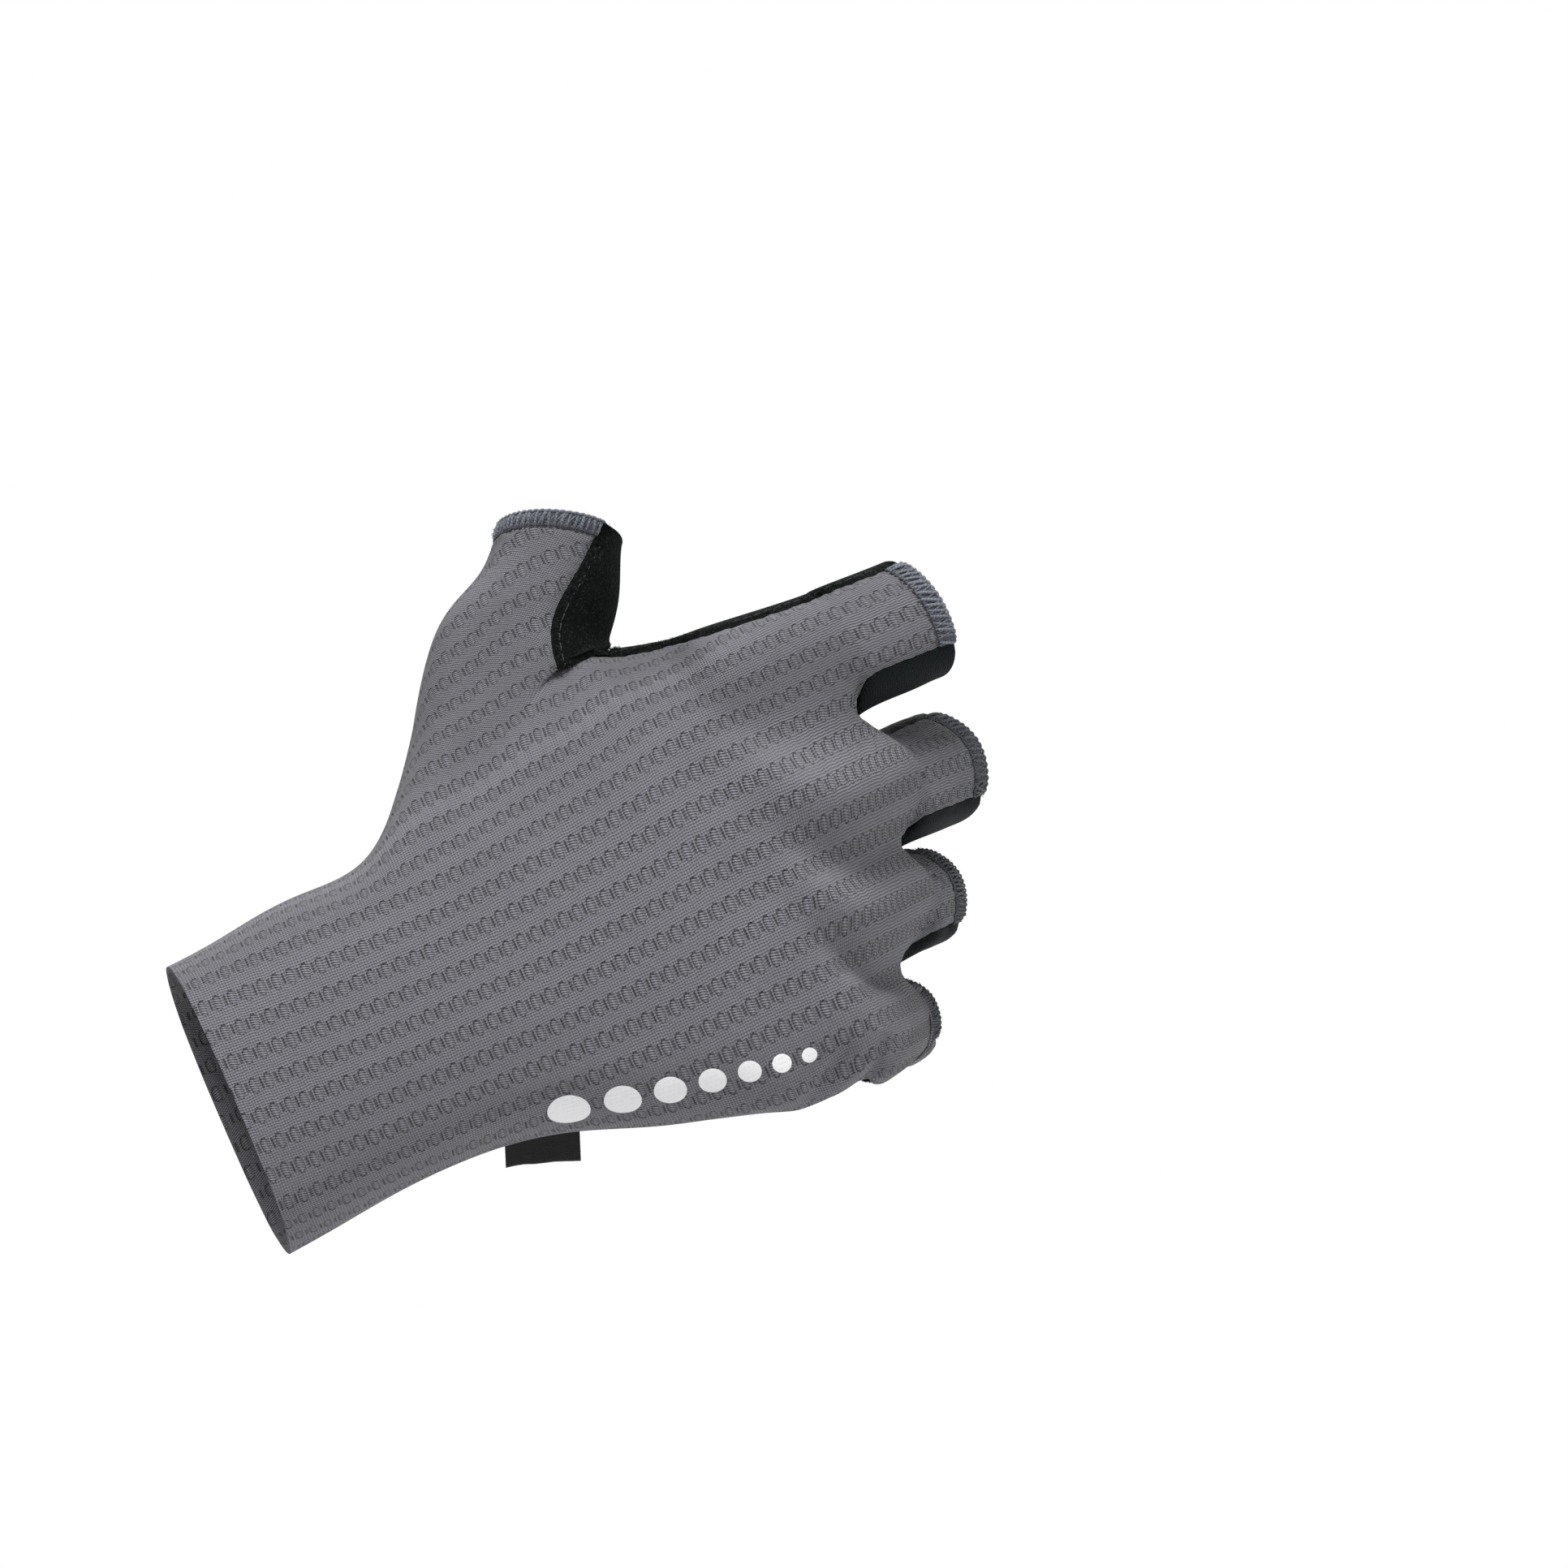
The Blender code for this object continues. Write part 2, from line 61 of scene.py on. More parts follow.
# The pattern's own sizes, as in the part's source, but for the tab's two ends and the middle finger's
# length, which are a little longer here
PALM_REACH = 118.0 * MM
PALM_WIDTH = 90.0 * MM
PALM_DEPTH = 34.0 * MM
HEM_WIDTH = 2.8 * MM
WEB_STEP = 4.0 * MM
TAB_START = 0.377 * PALM_REACH
TAB_LENGTH = 14.0 * MM
TAB_SHORT_END, TAB_LONG_END = 6.6 * MM, 8.6 * MM
TAB_THICKNESS = 0.9 * MM
TAB_GAP = 0.35 * MM
HEM_LEAD = 0.36
SUEDE_HALF_ANGLE = 48
COLUMNS = 20
BACK_COLUMNS = 8
OUTER_CORNER = 0.86
ROUNDNESS = 2.4
THUMB_POINTS = 12
THUMB_KNIT_START, THUMB_KNIT_END = 11, 4
THUMB_PATCH_END = 8
THUMB_FIRST, THUMB_LAST = 3, 7

Section = namedtuple("Section", "along top foot middle half roll lean corner")
SECTIONS = (
    Section(0.000, 0.317, -0.317, 0.00, 0.610, 8, 0.024, 0.86),
    Section(0.100, 0.327, -0.304, 0.00, 0.590, 8, 0.010, 0.86),
    Section(0.230, 0.342, -0.290, 0.02, 0.575, 8, 0.000, 0.85),
    Section(0.360, 0.358, -0.294, 0.05, 0.560, 9, 0.000, 0.80),
    Section(0.485, 0.433, -0.330, 0.09, 0.560, 10, 0.000, 0.72),
    Section(0.615, 0.522, -0.390, 0.11, 0.550, 11, 0.000, 0.74),
    Section(0.748, 0.585, -0.440, 0.11, 0.520, 12, 0.000, 0.90),
    Section(0.830, 0.545, -0.476, 0.10, 0.480, 12, 0.000, 0.95),
    Section(0.915, 0.511, -0.470, 0.08, 0.450, 12, 0.010, 0.96),
)
Finger = namedtuple(
    "Finger", "name along depth across bend splay roll web_reach length knuckle web hem slant skew knit"
)
FINGERS = (
    Finger("index", 0.985, 0.20, 0.358, 20, -1.5, 14, 0.1525, 0.3220, 0.1489, 0.1356, 0.1322, 8, 8, 49),
    Finger("middle", 1.020, 0.00, 0.058, 56, -1.5, 10, 0.1695, 0.3690, 0.1589, 0.1200, 0.1200, 0, 0, 56),
    Finger("ring", 0.980, -0.03, -0.176, 64, -1.0, 8, 0.1949, 0.3178, 0.1489, 0.1044, 0.1044, 0, 0, 58),
    Finger("little", 0.955, -0.05, -0.375, 79, -4.0, 18, 0.1695, 0.2627, 0.1178, 0.0933, 0.0933, 0, 0, 58),
)
ThumbLoop = namedtuple("ThumbLoop", "outer_x outer_z inner_x inner_z middle half turn slant")
THUMB_LOOPS = (
    ThumbLoop(0.478, 0.520, 0.834, 0.552, 0.36, 0.46, 2, 0),
    ThumbLoop(0.593, 0.718, 0.840, 0.572, 0.41, 0.40, -8, 6),
    ThumbLoop(0.686, 0.786, 0.878, 0.638, 0.43, 0.36, -6, 14),
    ThumbLoop(0.750, 0.862, 0.920, 0.738, 0.43, 0.34, 16, 20),
)
PANELS = (
    "back_panel",
    "palm_panel",
    "crotch_patch",
    "side_index_middle",
    "side_middle_ring",
    "side_ring_little",
    "thumb_hem",
    "index_hem",
    "middle_hem",
    "ring_hem",
    "little_hem",
)
SLOT = {name: number for number, name in enumerate(PANELS)}
SIDES = PANELS[3:6]
HEMS = PANELS[6:]
BLUE_HEMS = ("thumb_hem", "index_hem")
FINE_HEMS = ("ring_hem", "little_hem")

# The knit's rows as they lie on the back of the hand: at X, row 0 lies at this Z and the rows are
# this far apart, all in millimetres
RowStation = namedtuple("RowStation", "x row_0 pitch")
ROW_STATIONS = (
    RowStation(0, 2.6, 5.50),
    RowStation(25, 1.0, 5.45),
    RowStation(50, 0.5, 5.40),
    RowStation(80, 1.3, 5.90),
    RowStation(100, 3.2, 6.15),
    RowStation(125, 3.6, 6.20),
)
CLOSE_ROW = 4  # above this row the cloth is less stretched
CLOSE_PITCH = 4.75
FINGER_PITCH = 5.4
CELL_PITCH = 2.85  # along a row

# Soft folds in the cloth, on the back of the hand: from one point to another in X and Z, how wide the
# fold is and how far it stands out, all in millimetres
Fold = namedtuple("Fold", "x0 z0 x1 z1 width height")
FOLDS = (
    Fold(99, -41.5, 108, -36.5, 1.6, -0.9),
    Fold(104, -43.0, 113, -38.5, 1.5, 0.7),
    Fold(108, -43.5, 117, -37.5, 1.5, -0.9),
    Fold(112, -44.0, 121, -38.5, 1.5, 0.5),
    Fold(52, 40, 68, 47, 3.0, 0.35),
    Fold(60, 50, 74, 54, 2.4, -0.35),
    Fold(84, -40, 96, -37, 3.0, 0.5),
)

# Plain printed dots, in a row on the back near the little finger: place and size in millimetres
PrintDot = namedtuple("PrintDot", "x z size")
PRINT_DOTS = (
    PrintDot(57.5, -25.4, 8.0),
    PrintDot(67.3, -27.7, 7.0),
    PrintDot(76.0, -29.6, 6.1),
    PrintDot(83.8, -31.1, 5.2),
    PrintDot(90.7, -32.3, 4.4),
    PrintDot(96.7, -33.3, 3.6),
    PrintDot(101.9, -34.0, 2.9),
)

# Where the cloth bridges a hollow: a place on the back, how far the bridge reaches, and how smooth it
# gets, with the lengths in millimetres
Bridge = namedtuple("Bridge", "x z reach rounds")
BRIDGES = (
    Bridge(82, 41, 24, 1600),
    Bridge(86, 47, 10, 300),
    Bridge(140, 6, 9, 260),
    Bridge(134, -13, 9, 260),
    Bridge(122, -30, 8, 160),
    Bridge(128, 22, 9, 160),
)
# Where the thumb's crease runs into the patch's lower corner and is evened out
EASED = Bridge(85, 47, 9, 90)

FINEST = 4  # how often the skin is smoothed for the suede, the hems and their threads
FINE = 3  # the same for the side cloths and the tab
WAY_ROUNDS = {1: 1, 2: 3, 3: 6, 4: 10}  # how often the ways out are evened out, by level
SEAM_STEPS = 14  # how many points away from a seam still feel it
SHARP_ANGLE = math.radians(50)
TURN = 2 * math.pi
ROWS_UPRIGHT = (0.65, 0.30)  # how upright the rows still run over the thumb's first two loops

# The two threads of an overlock loop: where each starts and how far it slants, in loops, and how thick
# it is beside the thread's own size
LoopThread = namedtuple("LoopThread", "start slant thick")
LOOP_THREADS = (LoopThread(0.15, 0.85, 1.0), LoopThread(0.65, -0.55, 0.62))
LOOP_SWELL = (0.55, 0.9, 1.05, 1.05, 1.0, 0.95, 0.9, 0.6)  # a loop's thickness along its path
FINE_THREAD = 0.72  # how much finer the thread is on the last two fingers
CLOSED_GAP = 0.015 * MM  # what stays open between a hem and its cloths
FUZZ_HAIRS = 420  # on each hem
NAP_HAIRS = {"crotch_patch": 2200, "palm_panel": 3800}
NAP_REACH = 1.9 * MM  # how far from a seam the nap stands up
STITCH_LENGTH, STITCH_GAP = 1.7 * MM, 0.5 * MM
STITCH_INSET = 1.5 * MM  # from the suede's edge
TAB_STEPS = 28
DOT_RINGS, DOT_SPOKES = 4, 28
DOT_TOP, DOT_FOOT = 0.10 * MM, -0.25 * MM  # the printed film's two sides, above and below the knit

Lamp = namedtuple("Lamp", "name place size power")
LAMPS = (
    Lamp("key", (0.35, -1.10, 1.70), 0.8, 47.0),
    Lamp("fill", (1.3, -1.3, 0.5), 1.0, 8.0),
    Lamp("top", (-0.05, -0.40, 1.70), 0.8, 16.0),
    Lamp("back", (0.2, 1.5, 0.5), 1.2, 10.0),
)
LAMP_AIM = Vector((0.08, 0.0, 0.01))
WORLD_LIGHT, WORLD_SEEN = 0.25, 1.0  # the world's strength as a light, and as it is seen
FLOOR_HALF = 2.2
PICTURE_MIDDLE = (117.8 * MM, 13.2 * MM)  # X and Z


class GloveSizes(bpy.types.PropertyGroup):
    """Sizes of the cloth's details."""

    knit_wall: FloatProperty(
        name="Knit", description="Thickness of the knit", default=1.1 * MM, unit="LENGTH"
    )
    suede_wall: FloatProperty(
        name="Suede", description="Thickness of the suede", default=1.3 * MM, unit="LENGTH"
    )
    side_wall: FloatProperty(
        name="Side cloth",
        description="Thickness of the cloth between the fingers",
        default=1.0 * MM,
        unit="LENGTH",
    )
    hem_wall: FloatProperty(
        name="Hem", description="Thickness of the overlocked finger ends", default=1.5 * MM, unit="LENGTH"
    )
    seam_gap: FloatProperty(
        name="Seam",
        description="Gap that shows between two pieces of cloth",
        default=0.22 * MM,
        unit="LENGTH",
    )
    seam_dip: FloatProperty(
        name="Seam dip",
        description="How far the cloth sinks towards a seam",
        default=0.42 * MM,
        unit="LENGTH",
    )
    thread: FloatProperty(
        name="Thread", description="Radius of the overlock thread", default=0.27 * MM, unit="LENGTH"
    )
    loop_pitch: FloatProperty(
        name="Loop pitch",
        description="Distance between two overlock loops",
        default=1.22 * MM,
        unit="LENGTH",
    )
    fibre: FloatProperty(
        name="Fibre", description="Radius of a loose suede fibre", default=0.045 * MM, unit="LENGTH"
    )
    skin_level: IntProperty(
        name="Steps",
        description="How often the skin is smoothed for the back",
        default=FINEST,
        min=1,
        max=FINEST,
    )


class GloveColours(bpy.types.PropertyGroup):
    """Colours of the cloths and threads, linear."""

    knit: FloatVectorProperty(
        name="Knit", description="Grey of the back", subtype="COLOR", size=3, default=(0.133, 0.132, 0.150)
    )
    suede: FloatVectorProperty(
        name="Suede",
        description="Black of the palm",
        subtype="COLOR",
        size=3,
        default=(0.0046, 0.0055, 0.0052),
    )
    side: FloatVectorProperty(
        name="Side cloth",
        description="Black of the side cloths",
        subtype="COLOR",
        size=3,
        default=(0.0048, 0.0068, 0.0079),
    )
    thread: FloatVectorProperty(
        name="Thread",
        description="Blue-grey of the overlock thread",
        subtype="COLOR",
        size=3,
        default=(0.148, 0.160, 0.190),
    )
    finger_thread: FloatVectorProperty(
        name="Finger thread",
        description="Darker grey of the thread on the last three fingers",
        subtype="COLOR",
        size=3,
        default=(0.082, 0.088, 0.100),
    )
    tape: FloatVectorProperty(
        name="Tape",
        description="Black of the side tab",
        subtype="COLOR",
        size=3,
        default=(0.009, 0.009, 0.010),
    )
    mark: FloatVectorProperty(
        name="Print",
        description="White of the printed dots",
        subtype="COLOR",
        size=3,
        default=(0.80, 0.80, 0.82),
    )


class GloveStage(bpy.types.PropertyGroup):
    """The floor, the lights and the camera."""

    camera_distance: FloatProperty(
        name="Distance", description="From the camera to the back of the hand", default=2.5, unit="LENGTH"
    )
    picture_width: FloatProperty(
        name="Width", description="Width of the picture at the glove", default=288.4 * MM, unit="LENGTH"
    )
    roll: FloatProperty(
        name="Roll",
        description="Turn of the camera about its view",
        default=math.radians(24),
        subtype="ANGLE",
    )
    floor_colour: FloatVectorProperty(
        name="Floor", description="Colour of the floor", subtype="COLOR", size=3, default=(0.85, 0.85, 0.85)
    )
    floor_drop: FloatProperty(
        name="Floor drop", description="How far the floor lies below the glove", default=0.45, unit="LENGTH"
    )
    show_print: BoolProperty(
        name="Printed dots",
        description="Adds the plain printed dots near the little finger",
        default=True,
    )


class Skin:
    """The points and faces of the glove's outer skin, each with its place in the flat knit."""

    def __init__(self):
        self.points = []
        self.faces = []
        self.slots = []
        self.knit = []
        self.far_knit = {}
        self.charts = []

    def point(self, place, knit=(0.0, 0.0)):
        self.points.append(Vector(place))
        self.knit.append(tuple(knit))
        return len(self.points) - 1

    def face(self, corners, panel, far=False):
        self.faces.append(tuple(corners))
        self.slots.append(SLOT[panel])
        self.charts.append("far" if far else "knit" if panel == "back_panel" or panel in HEMS else "other")

    def flat_pattern(self):
        """The faces laid out in the flat knit. The knit is cut from the other cloths, and the cuff
        is cut open below, so that the rows run on undisturbed."""
        numbers, places, faces = {}, [], []
        for corners, chart in zip(self.faces, self.charts):
            face = []
            for corner in corners:
                far = chart == "far" and corner in self.far_knit
                key = (corner, "far" if far else "other" if chart == "other" else "knit")
                if key not in numbers:
                    numbers[key] = len(places)
                    places.append(self.far_knit[corner] if far else self.knit[corner])
                face.append(numbers[key])
            faces.append(tuple(face))
        return places, faces


def column_shares(column, corner):
    half_turn = COLUMNS // 2
    mirrored = column if column <= half_turn else COLUMNS - column
    if mirrored == 0:
        return 1.0, 0.0
    if mirrored == half_turn:
        return -1.0, 0.0
    across = corner - (corner + OUTER_CORNER) * (mirrored - 1) / BACK_COLUMNS
    through = (1 - abs(across) ** ROUNDNESS) ** (1 / ROUNDNESS)
    return across, -through if column <= half_turn else through


def section_point(section, column):
    across, through = column_shares(column, section.corner)
    roll = math.radians(section.roll)
    half_width = (section.top - section.foot) / 2 * PALM_WIDTH / math.cos(roll)
    half_depth = section.half * PALM_DEPTH
    middle_z = (section.top + section.foot) / 2 * PALM_WIDTH
    return Vector(
        (
            (section.along - section.lean * through) * PALM_REACH,
            section.middle * PALM_DEPTH
            + across * half_width * math.sin(roll)
            + through * half_depth * math.cos(roll),
            middle_z
            + across * half_width * math.cos(roll)
            - through * half_depth * math.sin(roll),
        )
    )


def finger_axes(finger, bend):
    bend, splay, roll = (math.radians(a) for a in (bend, finger.splay, finger.roll))
    along = Vector((math.cos(bend) * math.cos(splay), math.sin(bend) * math.cos(splay), math.sin(splay)))
    level_back = Vector((math.sin(bend), -math.cos(bend), 0.0))
    level_side = along.cross(level_back).normalized()
    level_side = level_side if level_side.z > 0 else -level_side
    back = level_back * math.cos(roll) + level_side * math.sin(roll)
    side = level_side * math.cos(roll) - level_back * math.sin(roll)
    return along, back, side


def knuckle(finger):
    return Vector((finger.along * PALM_REACH, finger.depth * PALM_DEPTH, finger.across * PALM_WIDTH))


def finger_angles(finger):
    suede = 180 - SUEDE_HALF_ANGLE
    side = (finger.knit + suede) / 2
    return (finger.knit, 0, -finger.knit, -side, -suede, 180, suede, side)


def finger_loop(finger, reach, radius, bend, slope=0.0):
    straight_along, _, _ = finger_axes(finger, finger.bend)
    along, back, side = finger_axes(finger, bend)
    middle = knuckle(finger) + straight_along * reach
    loop = []
    for angle in finger_angles(finger):
        turn = math.radians(angle)
        out = back * math.cos(turn) + side * math.sin(turn)
        forward = math.tan(math.radians(finger.slant)) * math.cos(turn)
        forward -= math.tan(math.radians(finger.skew)) * math.sin(turn)
        loop.append(middle + (out + along * forward * slope) * radius * PALM_WIDTH)
    return loop


def thumb_loop(loop):
    outer = Vector((loop.outer_x * PALM_REACH, loop.middle * PALM_DEPTH, loop.outer_z * PALM_WIDTH))
    inner = Vector((loop.inner_x * PALM_REACH, loop.middle * PALM_DEPTH, loop.inner_z * PALM_WIDTH))
    middle = (outer + inner) / 2
    across = (inner - outer) / 2
    along = Vector((-across.z, 0.0, across.x)).normalized()
    points = []
    for k in range(THUMB_POINTS):
        turn = 2 * math.pi * k / THUMB_POINTS + math.radians(loop.turn)
        depth = math.sin(turn) * loop.half * PALM_DEPTH
        forward = along * math.tan(math.radians(loop.slant)) * depth
        points.append(middle - across * math.cos(turn) + Vector((0.0, -depth, 0.0)) + forward)
    return points


def average(*places):
    return sum(places, Vector()) / len(places)


def knit_place(place):
    """Where a point of the visible back lies in the flat knit: in cells along a row, and in rows."""
    x, z = place.x / MM, place.z / MM
    stations = list(zip(*ROW_STATIONS))
    row_0 = float(np.interp(x, stations[0], stations[1]))
    pitch = float(np.interp(x, stations[0], stations[2]))
    axis_x = 77 + (z - 50) * 0.65
    bow = 0.28 * (math.hypot(x - axis_x, 3) - 3)
    z += bow * min(max((z - 42) / 14, 0), 1) * (1 if x > 50 else 0)
    close = row_0 + CLOSE_ROW * pitch
    row = (z - row_0) / pitch if z < close else CLOSE_ROW + (z - close) / CLOSE_PITCH
    return x / CELL_PITCH, row


def unrolled(places, way_x, way_z):
    """The flat places of a run of points that goes round an edge of the hand. The first is measured on
    the back, and the others lie beyond it in the flat, at their true distances."""
    start = places[0]
    reach = 0.0
    knit = []
    for before, place in zip(places, places[1:]):
        reach += (place - before).length
        knit.append(knit_place(start + Vector((way_x, 0.0, way_z)) * reach))
    return knit


def palm_panel_of(row, column):
    if row < THUMB_FIRST or 1 <= column <= 10:
        return "back_panel"
    return "palm_panel"


def finger_ring(loops):
    index, middle, ring, little = loops
    ring_points = [index[7], index[0], index[1]]
    ring_points += [average(index[2], middle[0]), middle[1]]
    ring_points += [average(middle[2], ring[0]), ring[1]]
    ring_points += [average(ring[2], little[0]), little[1]]
    ring_points += [little[2], little[3], little[4], little[5]]
    ring_points += [average(little[6], ring[4]), ring[5]]
    ring_points += [average(ring[6], middle[4]), middle[5]]
    ring_points += [average(middle[6], index[4]), index[5], index[6]]
    return ring_points


def section_knit(places, inside_thumb):
    """The flat places of one section's points. The back is measured as the camera sees it, and from
    there the way goes on round both edges by its true length."""
    knit = [None] * COLUMNS
    for column in range(2, 9):
        knit[column] = knit_place(places[column])
    knit[1], knit[0] = unrolled([places[2], places[1], places[0]], 0.0, 1.0)
    if inside_thumb:
        knit[1] = knit_place(places[1])
    knit[9], knit[10], knit[11] = unrolled(places[8:12], 0.0, -1.0)
    u, row = knit[0]
    before = places[0]
    far = {}
    for column in range(COLUMNS - 1, 9, -1):
        row += (places[column] - before).length / MM / FINGER_PITCH
        before = places[column]
        far[column] = (u, row)
        if knit[column] is None:
            knit[column] = (u, row)
    return knit, far


def build_palm(skin):
    rows = []
    for number, section in enumerate(SECTIONS):
        inside_thumb = THUMB_FIRST < number < THUMB_LAST
        places = [section_point(section, column) for column in range(COLUMNS)]
        knit, far = section_knit(places, inside_thumb)
        row = [
            None if inside_thumb and column == 0 else skin.point(places[column], knit[column])
            for column in range(COLUMNS)
        ]
        rows.append(row)
        if number <= THUMB_FIRST:
            skin.far_knit[row[10]] = far[10]
            skin.far_knit[row[11]] = far[11]
    knuckles = [finger_loop(f, 0.0, f.knuckle, f.bend / 2) for f in FINGERS]
    webs = [finger_loop(f, f.web_reach * PALM_REACH, f.web, f.bend) for f in FINGERS]
    for loops in (knuckles, webs):
        places = finger_ring(loops)
        knit = []
        for column, place in enumerate(places):
            last = rows[-1][column]
            reach = (place - skin.points[last]).length / MM / CELL_PITCH
            row = skin.knit[last][1]
            if 1 <= column <= 8:
                row = knit_place(place)[1]
            elif 9 <= column <= 12:
                row = knit[-1][1] - (place - places[column - 1]).length / MM / FINGER_PITCH
            knit.append((skin.knit[last][0] + reach, row))
        rows.append([skin.point(place, flat) for place, flat in zip(places, knit)])
    for row in range(len(rows) - 1):
        for column in range(COLUMNS):
            after = (column + 1) % COLUMNS
            if THUMB_FIRST <= row < THUMB_LAST and column in (0, COLUMNS - 1):
                continue
            corners = (rows[row][column], rows[row][after], rows[row + 1][after], rows[row + 1][column])
            skin.face(corners, palm_panel_of(row, column), row < THUMB_FIRST and column >= 10)
    forks = []
    for f in range(len(FINGERS) - 1):
        place = average(webs[f][3], webs[f + 1][7])
        side = rows[-1][2 * f + 3]
        forks.append(skin.point(place, skin.knit[side]))
    return rows, forks


def finger_starts(web_row, forks):
    r = web_row
    first, second, third = forks
    return (
        (r[1], r[2], r[3], first, r[17], r[18], r[19], r[0]),
        (r[3], r[4], r[5], second, r[15], r[16], r[17], first),
        (r[5], r[6], r[7], third, r[13], r[14], r[15], second),
        (r[7], r[8], r[9], r[10], r[11], r[12], r[13], third),
    )


def finger_panel(number, side, at_hem):
    if side in (0, 1):
        return FINGERS[number].name + "_hem" if at_hem else "back_panel"
    if side in (4, 5):
        return "palm_panel"
    if side in (2, 3):
        return SIDES[number] if number < len(SIDES) else "back_panel"
    return SIDES[number - 1] if number > 0 else "palm_panel"


def join_loops(skin, before, after, panel_of):
    count = len(before)
    for k in range(count):
        n = (k + 1) % count
        skin.face((before[k], before[n], after[n], after[k]), panel_of(k))


def build_fingers(skin, starts):
    for number, finger in enumerate(FINGERS):
        before = starts[number]
        hem_end = finger.length * PALM_REACH
        hem_start = hem_end - HEM_WIDTH
        web_end = finger.web_reach * PALM_REACH + WEB_STEP
        before_hem = hem_start + (web_end - hem_start) * HEM_LEAD
        stations = (
            (web_end, finger.web, 0.3, False),
            (before_hem, finger.web + (finger.hem - finger.web) * (1 - HEM_LEAD), 0.8, False),
            (hem_start, finger.hem, 1.0, False),
            (hem_end, finger.hem, 1.0, True),
        )
        start_u, middle_row = skin.knit[before[1]]
        for reach, radius, slope, at_hem in stations:
            places = finger_loop(finger, reach, radius, finger.bend, slope)
            u = start_u + (reach - finger.web_reach * PALM_REACH) / MM / CELL_PITCH
            after = []
            for place, angle in zip(places, finger_angles(finger)):
                arc = math.radians(angle) * radius * PALM_WIDTH / MM
                after.append(skin.point(place, (u, middle_row + arc / FINGER_PITCH)))
            join_loops(skin, before, after, lambda side: finger_panel(number, side, at_hem))
            before = after


def thumb_panel(side, at_hem):
    if side >= THUMB_KNIT_START or side < THUMB_KNIT_END:
        return "thumb_hem" if at_hem else "back_panel"
    return "crotch_patch" if side < THUMB_PATCH_END else "palm_panel"


def build_thumb(skin, rows):
    near, far = rows[THUMB_FIRST], rows[THUMB_LAST]
    over_back = [rows[r][1] for r in range(THUMB_FIRST, THUMB_LAST + 1)]
    under_palm = [rows[r][COLUMNS - 1] for r in range(THUMB_LAST, THUMB_FIRST - 1, -1)]
    before = [near[0], *over_back, far[0], *under_palm]
    loops = [thumb_loop(loop) for loop in THUMB_LOOPS]
    start, end = loops[-2], loops[-1]
    hem_share = HEM_WIDTH / ((end[3] - start[3]).length)
    loops.insert(-1, [s.lerp(e, 1 - hem_share) for s, e in zip(start, end)])
    for number, places in enumerate(loops):
        knit = [knit_place(place) for place in places]
        outward = (places[0] - places[6]).normalized()
        upright = ROWS_UPRIGHT[number] if number < len(ROWS_UPRIGHT) else 0.0
        outward = outward.lerp(Vector((0.0, 0.0, 1.0)), upright)
        knit[0], knit[11] = unrolled([places[1], places[0], places[11]], outward.x, outward.z)
        after = [skin.point(place, flat) for place, flat in zip(places, knit)]
        at_hem = number == len(loops) - 1
        join_loops(skin, before, after, lambda side: thumb_panel(side, at_hem))
        before = after


def smoothing_shares(count, faces):
    """The Catmull-Clark rule as a matrix: where the smooth surface puts each cage point."""
    shares = np.zeros((count, count))
    sides = np.zeros(count)
    uses = {}
    for face in faces:
        for k in range(4):
            here, after, across = face[k], face[(k + 1) % 4], face[(k + 2) % 4]
            shares[here, across] += 1
            sides[here] += 1
            uses[frozenset((here, after))] = uses.get(frozenset((here, after)), 0) + 1
    for a, b in uses:
        shares[a, b] += 4
        shares[b, a] += 4
    shares[range(count), range(count)] += sides**2
    shares /= (sides * (sides + 5))[:, None]
    rim = [tuple(edge) for edge, count_of in uses.items() if count_of == 1]
    for point in {point for edge in rim for point in edge}:
        shares[point] = 0
        shares[point, point] = 4 / 6
    for a, b in rim:
        shares[a, b] = shares[b, a] = 1 / 6
    return shares


def smoothed(points, faces, slots, level):
    """Blender's own smooth surface through these points, as arrays of points, faces and slots."""
    points = np.array(points, float)
    cage = np.linalg.solve(smoothing_shares(len(points), faces), points)
    mesh = bpy.data.meshes.new("pattern")
    mesh.from_pydata([tuple(p) for p in cage], [], faces)
    for name in PANELS:
        mesh.materials.append(None)
    mesh.polygons.foreach_set("material_index", slots)
    obj = bpy.data.objects.new("pattern", mesh)
    bpy.context.scene.collection.objects.link(obj)
    smoothing = obj.modifiers.new("smoothing", "SUBSURF")
    smoothing.levels = smoothing.render_levels = level
    graph = bpy.context.evaluated_depsgraph_get()
    smooth = bpy.data.meshes.new_from_object(obj.evaluated_get(graph))
    bpy.data.objects.remove(obj)
    places = np.empty(len(smooth.vertices) * 3)
    smooth.vertices.foreach_get("co", places)
    corners = np.empty(len(smooth.loops), int)
    smooth.loops.foreach_get("vertex_index", corners)
    kinds = np.empty(len(smooth.polygons), int)
    smooth.polygons.foreach_get("material_index", kinds)
    bpy.data.meshes.remove(smooth)
    bpy.data.meshes.remove(mesh)
    return places.reshape(-1, 3), corners.reshape(-1, 4), kinds


def unit(vectors):
    return vectors / np.maximum(np.linalg.norm(vectors, axis=-1, keepdims=True), 1e-12)


def sides_of(faces):
    """The four sides of each face, from point to point."""
    return np.concatenate([faces[:, [k, (k + 1) % 4]] for k in range(4)])


def side_keys(sides, count):
    """One number for each side, where there are this many points."""
    return sides[:, 0].astype(np.int64) * count + sides[:, 1]


